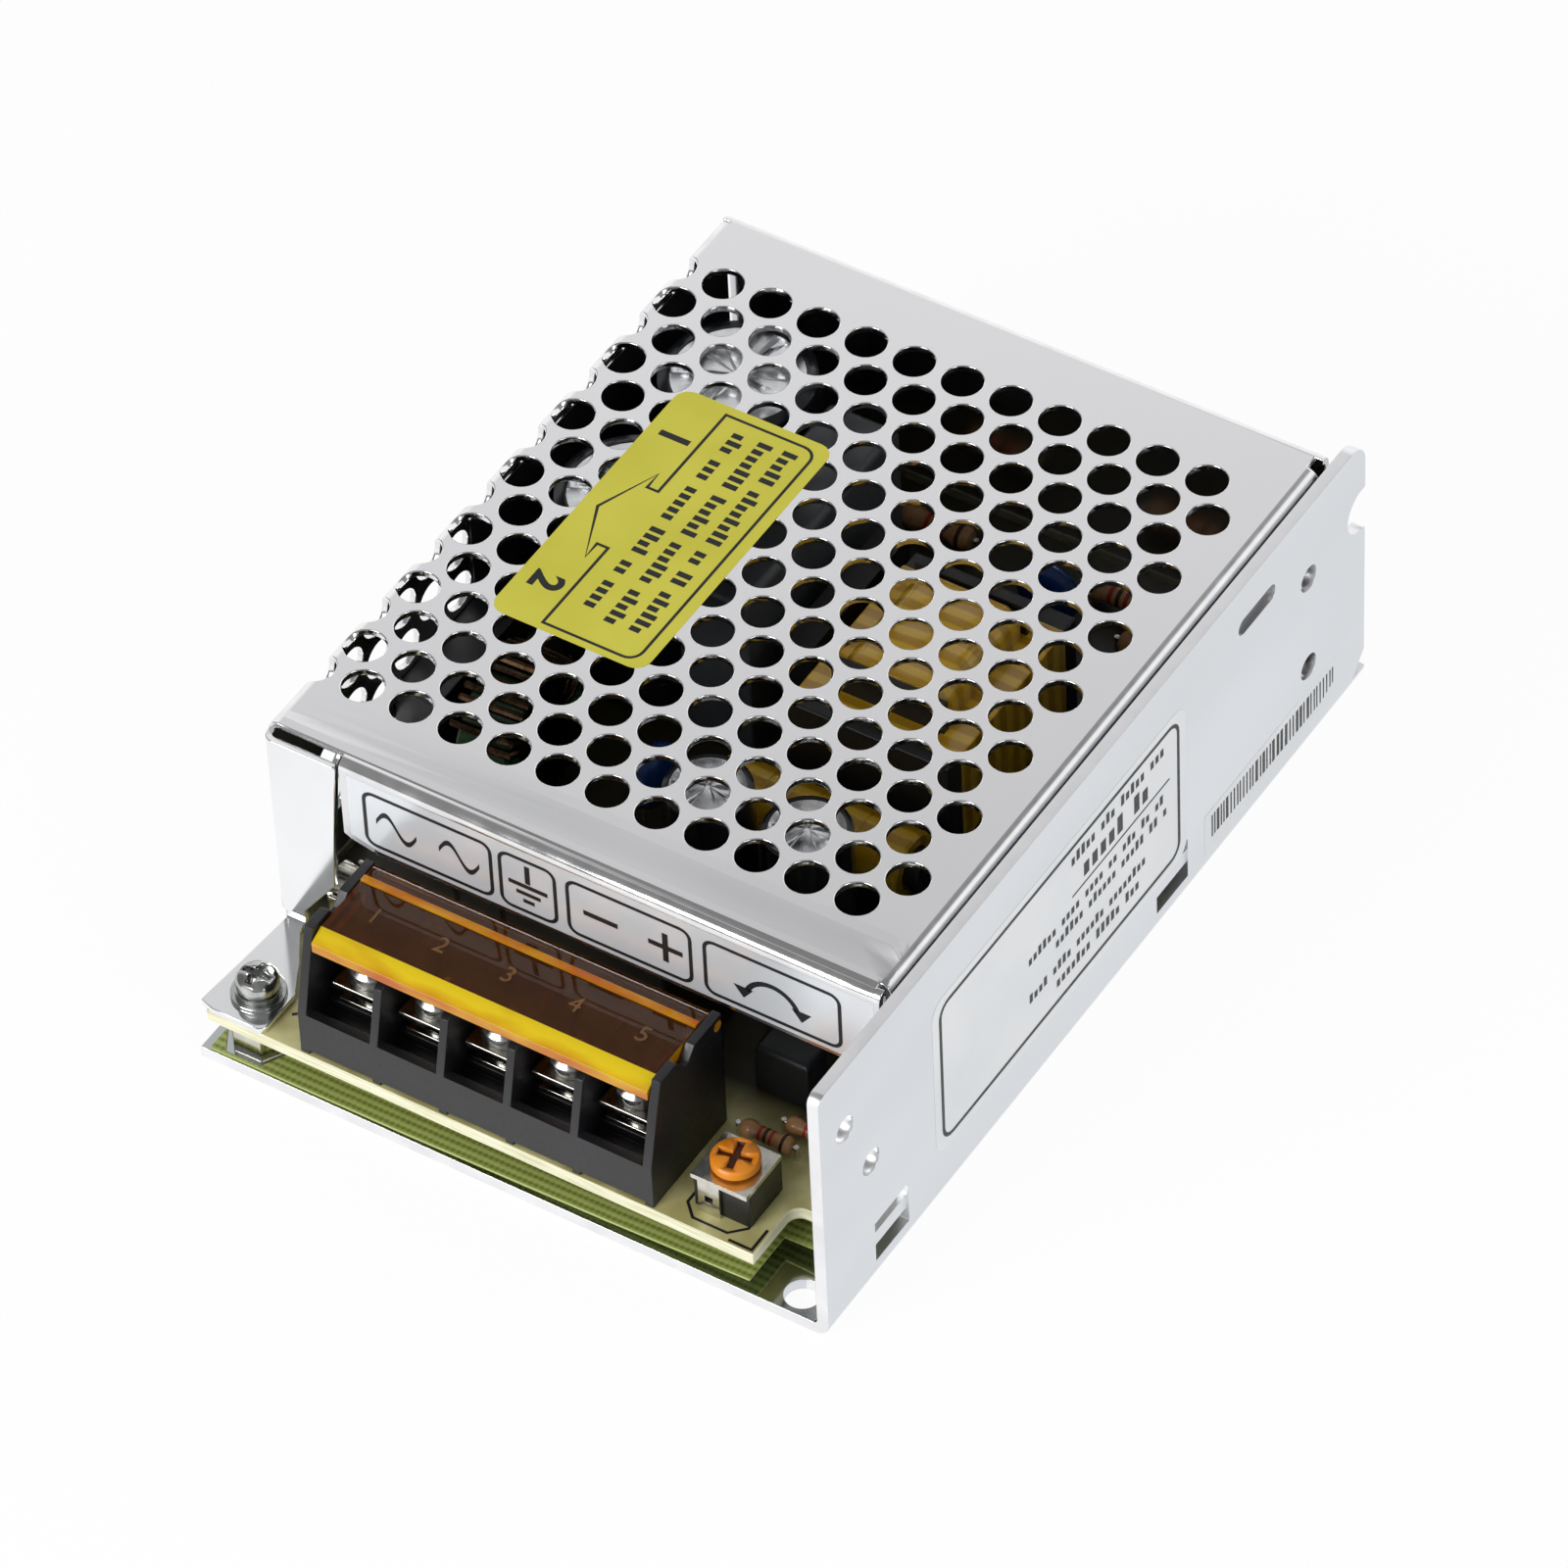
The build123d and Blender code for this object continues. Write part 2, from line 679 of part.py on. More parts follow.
with BuildPart() as board_screws:
    for place_x, place_y in board_screw_places:
        upright(place_x, place_y, board_screw_head, board_top, board_top + board_screw_head_height)
        upright(place_x, place_y, screw_shank, board_top - board_screw_length, board_top, sides=8)
finish(board_screws, "board_screws")

# The screw and washers that hold the cover's tab
tab_top = board_top + cover_sheet
flat_washer_top = tab_top + 0.5
spring_washer_top = flat_washer_top + 0.8
tab_head_top = spring_washer_top + 1.8
with BuildPart() as flat_washer:
    upright(tab_screw_x, tab_screw_y, 3.1, tab_top, flat_washer_top)
    upright(tab_screw_x, tab_screw_y, screw_shank + screw_pass_gap, tab_top - 1, flat_washer_top + 1, Mode.SUBTRACT)
finish(flat_washer, "flat_washer")

with BuildPart() as spring_washer:
    upright(tab_screw_x, tab_screw_y, 2.6, flat_washer_top, spring_washer_top)
    upright(tab_screw_x, tab_screw_y, screw_shank + screw_pass_gap, flat_washer_top - 1, spring_washer_top + 1,
            Mode.SUBTRACT)
    block(tab_screw_x, tab_screw_x + 4, tab_screw_y - 0.2, tab_screw_y + 0.2, flat_washer_top - 1,
          spring_washer_top + 1, Mode.SUBTRACT)
finish(spring_washer, "spring_washer")

with BuildPart() as tab_screw:
    upright(tab_screw_x, tab_screw_y, 2.4, spring_washer_top, tab_head_top)
    chamfer(tab_screw.edges().filter_by_position(Axis.Z, tab_head_top - 0.01, tab_head_top + 0.01), 0.5)
    upright(tab_screw_x, tab_screw_y, screw_shank, board_top - board_screw_length, spring_washer_top)
    block(tab_screw_x - 1.5, tab_screw_x + 1.5, tab_screw_y - 0.3, tab_screw_y + 0.3, tab_head_top - 0.9,
          tab_head_top + 1, Mode.SUBTRACT)
    block(tab_screw_x - 0.3, tab_screw_x + 0.3, tab_screw_y - 1.5, tab_screw_y + 1.5, tab_head_top - 0.9,
          tab_head_top + 1, Mode.SUBTRACT)
finish(tab_screw, "tab_screw")

# Terminal block
pole_x = [block_left + block_end_width + pole_pitch * (pole + 0.5) for pole in range(pole_count)]
barrier_x = [block_left + block_end_width + pole_pitch * pole for pole in range(1, pole_count)]
pocket_bottom = block_bottom + 0.4
end_wall = outline(side(block_left), [
    (block_near, board_top), (block_near, block_lip_top), (block_near + barrier_near_lean, barrier_near_height),
    (block_near + ear_near, ear_top), (block_near + ear_far, ear_top), (block_near + ear_far + 1.4, ear_top - ear_dip),
    (block_near + ear_post_from - 1.4, ear_top - ear_dip), (block_near + ear_post_from, ear_post_top),
    (block_far, ear_post_top), (block_far, board_top)])
barrier_far = hinge_y - hinge_barrel - 0.3
barrier = outline(side(0), [
    (block_near, board_top), (block_near, block_lip_top), (block_near + barrier_near_lean, barrier_near_height),
    (block_near + 2 * barrier_near_lean, barrier_top), (barrier_far, barrier_top), (barrier_far, block_rear_top),
    (block_far, block_rear_top), (block_far, board_top)])
with BuildPart() as terminal_block:
    block(block_left, block_right, block_near, block_far, block_bottom, bay_floor)
    block(block_left, block_right, strip_near, block_far, bay_floor, strip_seat)
    block(block_left, block_right, block_near, block_near + block_lip_width, bay_floor, block_lip_top)
    block(block_left, block_right, block_far - block_rear_wall, block_far, strip_seat, block_rear_top)
    extrude(end_wall, amount=block_end_wall)
    extrude(end_wall.moved(Location((block_width - block_end_wall, 0, 0))), amount=block_end_wall)
    for middle in barrier_x:
        extrude(barrier.moved(Location((middle - barrier_width / 2, 0, 0))), amount=barrier_width)
    for middle in pole_x:
        upright(middle, terminal_screw_y, terminal_shank + terminal_shank_gap, pocket_bottom, strip_seat + 1,
                Mode.SUBTRACT)
    across(hinge_y, hinge_z, hinge_pin + hinge_pin_gap, block_left - 1, block_right + 1, Mode.SUBTRACT)
finish(terminal_block, "terminal_block")

with BuildPart() as terminal_strips:
    for middle in pole_x:
        block(middle - strip_width / 2, middle + strip_width / 2, strip_near,
              block_far - block_rear_wall - strip_end_gap, strip_seat, strip_top)
        upright(middle, terminal_screw_y, terminal_shank + terminal_shank_gap, strip_seat - 1, strip_top + 1,
                Mode.SUBTRACT)
finish(terminal_strips, "terminal_strips")

for pole, middle in enumerate(pole_x, start=1):
    with BuildPart() as terminal_clamp:
        block(middle - clamp_width / 2, middle + clamp_width / 2, terminal_screw_y - clamp_length / 2,
              terminal_screw_y + clamp_length / 2, clamp_bottom, terminal_head_bottom)
        upright(middle, terminal_screw_y, terminal_shank + terminal_shank_gap, clamp_bottom - 1,
                terminal_head_bottom + 1, Mode.SUBTRACT)
    finish(terminal_clamp, f"terminal_clamp_{pole}")
    with BuildPart() as terminal_screw:
        upright(middle, terminal_screw_y, terminal_head_radius, terminal_head_bottom, terminal_head_top)
        head_rim = terminal_screw.edges().filter_by_position(Axis.Z, terminal_head_top - 0.01, terminal_head_top + 0.01)
        chamfer(head_rim, 0.5)
        upright(middle, terminal_screw_y, terminal_shank, strip_seat - terminal_shank_below, terminal_head_bottom)
        block(middle - 2, middle + 2, terminal_screw_y - terminal_slot_width / 2,
              terminal_screw_y + terminal_slot_width / 2, terminal_head_top - terminal_slot_depth,
              terminal_head_top + 1, Mode.SUBTRACT)
        block(middle - terminal_slot_width / 2, middle + terminal_slot_width / 2, terminal_screw_y - 2,
              terminal_screw_y + 2, terminal_head_top - terminal_slot_depth, terminal_head_top + 1, Mode.SUBTRACT)
    finish(terminal_screw, f"terminal_screw_{pole}")

# Flip cover, drawn closed
lid_section = outline(side(lid_left), [
    (hinge_y, lid_top), (lid_flat_near, lid_top), (lid_lip_near, lid_top - lid_slope_drop),
    (lid_lip_near, lid_lip_bottom), (lid_lip_near + lid_lip_thickness, lid_lip_bottom),
    (lid_lip_near + lid_lip_thickness, lid_top - lid_slope_drop - 0.5), (lid_flat_near + 0.5, lid_top - lid_thickness),
    (hinge_y, lid_top - lid_thickness)])
with BuildPart() as terminal_cover:
    extrude(lid_section, amount=lid_right - lid_left)
    across(hinge_y, hinge_z, hinge_barrel, lid_left, lid_right)
    across(hinge_y, hinge_z, hinge_pin, lid_left - lid_side_gap - block_end_wall,
           lid_right + lid_side_gap + block_end_wall)
    for rim_left in (lid_left, lid_right - lid_rim_width):
        block(rim_left, rim_left + lid_rim_width, lid_lip_near + lid_lip_thickness, hinge_y - 3,
              lid_lip_bottom, lid_top - lid_thickness)
    block(lid_left, lid_right, lid_rib_y - lid_rib_width / 2, lid_rib_y + lid_rib_width / 2, lid_top,
          lid_top + lid_rib_height)
finish(terminal_cover, "terminal_cover")

# Trimmer
plate_top = trimmer_plate_low + trimmer_plate_thickness
with BuildPart() as trimmer_body:
    block(trimmer_x - trimmer_half, trimmer_x + trimmer_half, trimmer_y - trimmer_half + 0.5,
          trimmer_y + trimmer_half, board_top, trimmer_plate_low)
    upright(trimmer_x, trimmer_y, trimmer_shaft + trimmer_shaft_gap, trimmer_dial_low - trimmer_shaft_length,
            trimmer_plate_low + 1, Mode.SUBTRACT)
finish(trimmer_body, "trimmer_body")

with BuildPart() as trimmer_plate:
    block(trimmer_x - trimmer_half, trimmer_x + trimmer_half, trimmer_y - trimmer_half,
          trimmer_y + trimmer_half, trimmer_plate_low, plate_top)
    upright(trimmer_x, trimmer_y, trimmer_shaft + trimmer_shaft_gap, trimmer_plate_low - 1, plate_top + 1,
            Mode.SUBTRACT)
    leg_left = trimmer_x - trimmer_leg_width
    block(leg_left, leg_left + trimmer_leg_width, trimmer_y - trimmer_half,
          trimmer_y - trimmer_half + trimmer_leg_thickness, board_top, trimmer_plate_low)
    block(leg_left + 0.8, leg_left + 1.8, trimmer_y - trimmer_half - 1, trimmer_y, board_top + 1.7, board_top + 2.7,
          Mode.SUBTRACT)
finish(trimmer_plate, "trimmer_plate")

dial_top = trimmer_dial_low + trimmer_dial_height
with BuildPart() as trimmer_dial:
    upright(trimmer_x, trimmer_y, trimmer_dial_radius, trimmer_dial_low, dial_top)
    upright(trimmer_x, trimmer_y, trimmer_shaft, trimmer_dial_low - trimmer_shaft_length + 0.1, trimmer_dial_low)
    for long_x, long_y in ((2.1, trimmer_slot_width / 2), (trimmer_slot_width / 2, 2.1)):
        block(trimmer_x - long_x, trimmer_x + long_x, trimmer_y - long_y, trimmer_y + long_y,
              dial_top - trimmer_slot_depth, dial_top + 1, Mode.SUBTRACT)
finish(trimmer_dial, "trimmer_dial")

# Selector switch behind the left wall
selector_face = left + cover_sheet
selector_back = selector_face + selector_body_depth
channel_back = selector_face + selector_channel_depth
with BuildPart() as selector_housing:
    block(selector_face, selector_back, selector_y - selector_body_length / 2, selector_y + selector_body_length / 2,
          selector_z - selector_body_height / 2, selector_z + selector_body_height / 2)
    block(selector_face - 1, channel_back, selector_y - selector_window_length / 2,
          selector_y + selector_window_length / 2, selector_z - selector_window_height / 2,
          selector_z + selector_window_height / 2, Mode.SUBTRACT)
finish(selector_housing, "selector_housing")

slider_near = selector_y - selector_window_length / 2 + selector_end_gap
slider_half_height = selector_window_height / 2 - selector_slider_side_gap
with BuildPart() as selector_slider:
    block(left + selector_slider_recess, channel_back - selector_slider_back_gap, slider_near,
          slider_near + selector_slider_length, selector_z - slider_half_height, selector_z + slider_half_height)
    groove_middle = slider_near + selector_slider_length / 2
    block(left - 1, left + selector_slider_recess + selector_groove_depth, groove_middle - selector_groove_width / 2,
          groove_middle + selector_groove_width / 2, selector_z - slider_half_height, selector_z + slider_half_height,
          Mode.SUBTRACT)
finish(selector_slider, "selector_slider")

# Transformer: core lying flat, winding round the middle leg
core_low = board_top + transformer_core_lift
core_high = core_low + transformer_core_height
core_near = transformer_y - transformer_core_length / 2
core_far = transformer_y + transformer_core_length / 2
core_left = transformer_x - transformer_core_width / 2
core_right = transformer_x + transformer_core_width / 2
with BuildPart() as transformer_core:
    block(core_left, core_right, core_near, core_far, core_low, core_high)
    for window_left, window_right in (
            (core_left + transformer_leg, transformer_x - transformer_center_leg / 2),
            (transformer_x + transformer_center_leg / 2, core_right - transformer_leg)):
        block(window_left, window_right, core_near + transformer_yoke, core_far - transformer_yoke, core_low - 1,
              core_high + 1, Mode.SUBTRACT)
    block(transformer_x - transformer_center_leg / 2, transformer_x + transformer_center_leg / 2,
          core_near + transformer_yoke, core_far - transformer_yoke, core_low - 1, core_low + 4, Mode.SUBTRACT)
    block(transformer_x - transformer_center_leg / 2, transformer_x + transformer_center_leg / 2,
          core_near + transformer_yoke, core_far - transformer_yoke, core_high - 4, core_high + 1, Mode.SUBTRACT)
finish(transformer_core, "transformer_core")

bobbin_near = core_near + transformer_yoke + bobbin_core_gap
bobbin_far = core_far - transformer_yoke - bobbin_core_gap
bobbin_half = transformer_center_leg / 2 + bobbin_core_gap
flange_half = transformer_core_width / 2 - transformer_leg - bobbin_core_gap
winding_low = board_top + winding_lift
winding_high = winding_low + winding_height
tube_low = core_low + 4 - bobbin_core_gap
tube_high = core_high - 4 + bobbin_core_gap
with BuildPart() as transformer_bobbin:
    for flange_near in (bobbin_near, bobbin_far - bobbin_flange):
        block(transformer_x - flange_half, transformer_x + flange_half, flange_near, flange_near + bobbin_flange,
              board_top, winding_high)
    block(transformer_x - bobbin_half - bobbin_wall, transformer_x + bobbin_half + bobbin_wall, bobbin_near,
          bobbin_far, tube_low - bobbin_wall, tube_high + bobbin_wall)
    block(transformer_x - bobbin_half, transformer_x + bobbin_half, bobbin_near - 1, bobbin_far + 1, tube_low,
          tube_high, Mode.SUBTRACT)
    for foot_near in (core_near, core_far - transformer_yoke):
        block(core_left, core_right, foot_near, foot_near + transformer_yoke, board_top,
              board_top + bobbin_base_height)
    block(core_left, core_right, core_near, core_near + 1, board_top + bobbin_base_height, core_low)
    block(core_left, core_right, core_far - 1, core_far, board_top + bobbin_base_height, core_low)
    for rail_left in (transformer_x - flange_half, transformer_x + flange_half - 1.5):
        block(rail_left, rail_left + 1.5, core_near + 1, core_far - 1, board_top, board_top + 1)
finish(transformer_bobbin, "transformer_bobbin")

winding_half = flange_half - winding_side_gap
with BuildPart() as transformer_winding:
    block(transformer_x - winding_half, transformer_x + winding_half, bobbin_near + bobbin_flange + winding_end_gap,
          bobbin_far - bobbin_flange - winding_end_gap, winding_low, winding_high)
    chamfer(transformer_winding.edges().filter_by(Axis.Y), 1.5)
    block(transformer_x - bobbin_half - bobbin_wall, transformer_x + bobbin_half + bobbin_wall, bobbin_near,
          bobbin_far, tube_low - bobbin_wall, tube_high + bobbin_wall, Mode.SUBTRACT)
finish(transformer_winding, "transformer_winding")


can_sizes = {
    "bulk_capacitor_far": (bulk_x, bulk_far_y, bulk_radius, bulk_height),
    "bulk_capacitor_near": (bulk_x, bulk_near_y, bulk_radius, bulk_height),
    "output_capacitor_left": (output_left_x, output_y, output_radius, output_height),
    "output_capacitor_right": (output_right_x, output_y, output_radius, output_height),
    "output_capacitor_small": (small_output_x, small_output_y, small_output_radius, small_output_height),
}
for can_name, (can_x, can_y, can_radius, can_height) in can_sizes.items():
    with BuildPart() as capacitor:
        upright(can_x, can_y, can_radius, board_top, board_top + can_height, sides=16)
        rim = capacitor.edges().filter_by_position(Axis.Z, board_top + can_height - 0.01, board_top + can_height + 0.01)
        chamfer(rim, 0.5)
    finish(capacitor, can_name)

with BuildPart() as small_capacitors:
    for can_x, can_y in small_can_places:
        upright(can_x, can_y, small_can_radius, board_top, board_top + small_can_height)
finish(small_capacitors, "small_capacitors")

with BuildPart() as film_capacitor:
    block(film_left, film_left + film_width, film_near_y, film_far_y, board_top, board_top + film_height)
    chamfer(film_capacitor.edges().filter_by_position(
        Axis.Z, board_top + film_height - 0.01, board_top + film_height + 0.01), 0.6)
finish(film_capacitor, "film_capacitor")

# Ring choke standing on edge
with BuildPart() as choke_core:
    across(choke_y, choke_z, choke_core_outer, choke_x - choke_core_width / 2, choke_x + choke_core_width / 2)
    across(choke_y, choke_z, choke_core_inner, choke_x - choke_core_width / 2 - 1, choke_x + choke_core_width / 2 + 1,
           Mode.SUBTRACT)
finish(choke_core, "choke_core")

choke_half = choke_core_width / 2 + choke_wire_gap
choke_near = choke_x - choke_half
choke_away = choke_x + choke_half
with BuildPart() as choke_winding:
    # Two end cheeks, an outer and an inner layer, then a split into two coils
    for low, high in ((choke_near - choke_wire, choke_near), (choke_away, choke_away + choke_wire)):
        across(choke_y, choke_z, choke_core_outer + choke_wire, low, high)
    outer_layer = choke_core_outer + choke_wire
    across(choke_y, choke_z, outer_layer, choke_near, choke_away)
    across(choke_y, choke_z, choke_core_outer + choke_wire_gap, choke_near, choke_away, Mode.SUBTRACT)
    across(choke_y, choke_z, choke_core_inner - choke_wire_gap, choke_near, choke_away)
    across(choke_y, choke_z, choke_core_inner - choke_wire, choke_near - outer_layer, choke_away + outer_layer,
           Mode.SUBTRACT)
    block(choke_near - outer_layer, choke_away + outer_layer, choke_y - choke_split / 2, choke_y + choke_split / 2,
          choke_z - 2 * outer_layer, choke_z + 2 * outer_layer, Mode.SUBTRACT)
finish(choke_winding, "choke_winding")

# Disc parts standing on two legs
disc_middle = board_top + disc_lift + disc_radius
with BuildPart() as disc_capacitor:
    across(disc_y, disc_middle, disc_radius, disc_x - disc_thickness / 2, disc_x + disc_thickness / 2)
    for leg_y in (disc_y - disc_radius * 0.7, disc_y + disc_radius * 0.7):
        block(disc_x - leg_size / 2, disc_x + leg_size / 2, leg_y - leg_size / 2, leg_y + leg_size / 2, board_top,
              disc_middle)
finish(disc_capacitor, "disc_capacitor")

with BuildPart() as safety_capacitor:
    lengthwise(safety_disc_x, disc_middle, disc_radius, safety_disc_y - disc_thickness / 2,
               safety_disc_y + disc_thickness / 2)
    for leg_x in (safety_disc_x - disc_radius * 0.7, safety_disc_x + disc_radius * 0.7):
        block(leg_x - leg_size / 2, leg_x + leg_size / 2, safety_disc_y - leg_size / 2, safety_disc_y + leg_size / 2,
              board_top, disc_middle)
finish(safety_capacitor, "safety_capacitor")

thermistor_middle = board_top + disc_lift + thermistor_radius
with BuildPart() as thermistor:
    lengthwise(thermistor_x, thermistor_middle, thermistor_radius, thermistor_y - thermistor_thickness / 2,
               thermistor_y + thermistor_thickness / 2)
    for leg_x in (thermistor_x - thermistor_radius * 0.6, thermistor_x + thermistor_radius * 0.6):
        block(leg_x - leg_size / 2, leg_x + leg_size / 2, thermistor_y - leg_size / 2, thermistor_y + leg_size / 2,
              board_top, thermistor_middle)
finish(thermistor, "thermistor")

# Rod choke on two feet
with BuildPart() as output_choke_core:
    across(rod_y, rod_z, rod_core_radius, rod_near_x - rod_winding_end, rod_far_x + rod_winding_end)
    for foot_x in (rod_near_x - rod_winding_end, rod_far_x):
        block(foot_x, foot_x + rod_winding_end, rod_y - rod_foot_width / 2, rod_y + rod_foot_width / 2, board_top,
              rod_z)
finish(output_choke_core, "output_choke_core")

with BuildPart() as output_choke_winding:
    across(rod_y, rod_z, rod_winding_radius, rod_near_x + rod_end_gap, rod_far_x - rod_end_gap)
    across(rod_y, rod_z, rod_core_radius, rod_near_x - 1, rod_far_x + 1, Mode.SUBTRACT)
finish(output_choke_winding, "output_choke_winding")

with BuildPart() as bridge_rectifier:
    block(bridge_x - bridge_thickness / 2, bridge_x + bridge_thickness / 2, bridge_near_y, bridge_far_y,
          board_top + bridge_lift, board_top + bridge_lift + bridge_height)
    for leg in range(4):
        leg_y = bridge_near_y + 2.4 + leg * (bridge_far_y - bridge_near_y - 4.8) / 3
        block(bridge_x - leg_size / 2, bridge_x + leg_size / 2, leg_y - leg_size / 2, leg_y + leg_size / 2, board_top,
              board_top + bridge_lift)
finish(bridge_rectifier, "bridge_rectifier")

# Fuse across the board behind the terminals
fuse_z = board_top + fuse_lift
fuse_right = fuse_left + fuse_length
with BuildPart() as fuse_tube:
    across(fuse_y, fuse_z, fuse_radius, fuse_left + fuse_cap_length, fuse_right - fuse_cap_length)
finish(fuse_tube, "fuse_tube")

with BuildPart() as fuse_caps:
    for cap_left in (fuse_left, fuse_right - fuse_cap_length):
        across(fuse_y, fuse_z, fuse_cap_radius, cap_left, cap_left + fuse_cap_length)
finish(fuse_caps, "fuse_caps")

with BuildPart() as fuse_clips:
    for clip_left in (fuse_left + 0.8, fuse_right - fuse_clip_length - 0.8):
        block(clip_left, clip_left + fuse_clip_length, fuse_y - fuse_cap_radius - 0.5, fuse_y + fuse_cap_radius + 0.5,
              board_top, fuse_z + 1)
    across(fuse_y, fuse_z, fuse_cap_radius, fuse_left - 1, fuse_right + 1, Mode.SUBTRACT)
    block(fuse_left - 1, fuse_right + 1, fuse_y - fuse_cap_radius, fuse_y + fuse_cap_radius, fuse_z, fuse_z + 3,
          Mode.SUBTRACT)
finish(fuse_clips, "fuse_clips")


# Power parts held against the side wall
tab_back = wall_inside - pad_thickness
tab_front = tab_back - device_tab_thickness
body_front = tab_front - device_body_thickness


def power_device(y):
    """A flat power part with its metal tab to the wall and three legs to the board."""
    block(tab_front, tab_back, y - device_width / 2, y + device_width / 2, device_tab_low,
          device_tab_low + device_tab_height)
    block(body_front, tab_front, y - device_width / 2, y + device_width / 2, device_tab_low,
          device_tab_low + device_body_height)
    for leg_y in (y - 2.54, y, y + 2.54):
        block(tab_front - 2, tab_front - 2 + leg_size, leg_y - leg_size / 2, leg_y + leg_size / 2, board_top,
              device_tab_low)


with BuildPart() as power_transistor:
    power_device(device_far_y)
finish(power_transistor, "power_transistor")

with BuildPart() as output_diode:
    power_device(device_near_y)
finish(output_diode, "output_diode")

with BuildPart() as insulating_pads:
    for device_y in (device_near_y, device_far_y):
        block(tab_back, wall_inside, device_y - device_width / 2 - pad_margin, device_y + device_width / 2 + pad_margin,
              device_tab_low - pad_margin, device_tab_low + device_tab_height + pad_margin)
finish(insulating_pads, "insulating_pads")

spring_top = device_tab_low + device_body_height - 2
spring_knee = spring_top - 4
spring_back = body_front - 1.2
with BuildPart() as device_springs:
    for device_y in (device_near_y, device_far_y):
        spring = outline(front(device_y + spring_width / 2), [
            (spring_back - spring_foot, board_top), (spring_back, board_top), (spring_back, spring_knee),
            (body_front, spring_top), (body_front, spring_top + 1.5), (body_front - spring_thickness, spring_top + 1.5),
            (body_front - spring_thickness, spring_top + 0.2), (spring_back - spring_thickness, spring_knee + 0.2),
            (spring_back - spring_thickness, board_top + spring_thickness),
            (spring_back - spring_foot, board_top + spring_thickness)])
        extrude(spring, amount=spring_width)
finish(device_springs, "device_springs")

# Small parts on the board
with BuildPart() as optocouplers:
    for place_x, place_y in optocoupler_places:
        block(place_x - optocoupler_width / 2, place_x + optocoupler_width / 2, place_y - optocoupler_length / 2,
              place_y + optocoupler_length / 2, board_top, board_top + small_chip_height)
finish(optocouplers, "optocouplers")

with BuildPart() as control_chip:
    block(chip_x - chip_width / 2, chip_x + chip_width / 2, chip_y - chip_length / 2, chip_y + chip_length / 2,
          board_top, board_top + small_chip_height)
finish(control_chip, "control_chip")


def resistor(x, y, length, radius, lift):
    """A resistor lying along X with its two legs bent down to the board."""
    middle_z = board_top + lift
    across(y, middle_z, radius, x - length / 2, x + length / 2, sides=8)
    for leg_x in (x - length / 2 - leg_size, x + length / 2):
        block(leg_x, leg_x + leg_size, y - leg_size / 2, y + leg_size / 2, board_top, middle_z + leg_size / 2)


with BuildPart() as resistors:
    for place_x, place_y in resistor_places:
        resistor(place_x, place_y, resistor_length, resistor_radius, resistor_lift)
    for place_x, place_y in small_resistor_places:
        resistor(place_x, place_y, small_resistor_length, small_resistor_radius, small_resistor_lift)
finish(resistors, "resistors")

with BuildPart() as box_capacitor:
    block(box_capacitor_left, box_capacitor_left + box_capacitor_width, box_capacitor_near,
          box_capacitor_near + box_capacitor_length, board_top, board_top + box_capacitor_height)
    chamfer(box_capacitor.edges().filter_by_position(
        Axis.Z, board_top + box_capacitor_height - 0.01, board_top + box_capacitor_height + 0.01), 0.4)
finish(box_capacitor, "box_capacitor")

with BuildPart() as indicator_lamp:
    upright(indicator_x, indicator_y, indicator_radius, board_top, board_top + indicator_height)
    upright(indicator_x, indicator_y, indicator_flange, board_top, board_top + indicator_flange_height)
finish(indicator_lamp, "indicator_lamp")
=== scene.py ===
import math
import random
import bmesh
import bpy
from mathutils import Matrix, Vector


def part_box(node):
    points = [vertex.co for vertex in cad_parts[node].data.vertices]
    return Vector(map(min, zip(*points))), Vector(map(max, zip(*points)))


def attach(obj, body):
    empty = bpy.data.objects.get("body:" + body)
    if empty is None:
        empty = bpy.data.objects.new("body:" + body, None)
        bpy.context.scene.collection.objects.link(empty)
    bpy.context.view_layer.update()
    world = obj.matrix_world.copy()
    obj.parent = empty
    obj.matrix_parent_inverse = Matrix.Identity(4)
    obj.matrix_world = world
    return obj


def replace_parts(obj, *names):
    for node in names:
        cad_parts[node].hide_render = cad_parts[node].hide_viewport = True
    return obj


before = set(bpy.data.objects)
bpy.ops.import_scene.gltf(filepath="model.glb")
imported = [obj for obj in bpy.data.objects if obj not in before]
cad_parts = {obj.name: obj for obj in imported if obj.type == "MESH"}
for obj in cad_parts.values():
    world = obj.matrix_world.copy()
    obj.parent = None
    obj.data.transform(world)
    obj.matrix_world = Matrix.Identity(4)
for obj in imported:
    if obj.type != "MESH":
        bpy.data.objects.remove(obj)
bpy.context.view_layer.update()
MM = 0.001
CASE = "case"
random.seed(7)


# Colours and shader nodes

def linear(code):
    """A written sRGB colour as the linear one that shaders take."""
    parts = [int(code[i:i + 2], 16) / 255 for i in (1, 3, 5)]
    return tuple(p / 12.92 if p <= 0.04045 else ((p + 0.055) / 1.055) ** 2.4 for p in parts) + (1.0,)


def add(tree, kind, settings=None, **inputs):
    """Adds a node with its settings. An input is named, or numbered as i0: a value or a socket."""
    made = tree.nodes.new(kind)
    for key, value in (settings or {}).items():
        setattr(made, key, value)
    for key, value in inputs.items():
        numbered = key[0] == "i" and key[1:].isdigit()
        socket = made.inputs[int(key[1:])] if numbered else made.inputs[key.replace("_", " ")]
        if isinstance(value, bpy.types.NodeSocket):
            tree.links.new(value, socket)
        else:
            socket.default_value = value
    return made


def maths(tree, operation, *values):
    """A maths node on plain numbers or sockets."""
    inputs = {f"i{k}": value for k, value in enumerate(values)}
    return add(tree, "ShaderNodeMath", {"operation": operation}, **inputs).outputs["Value"]


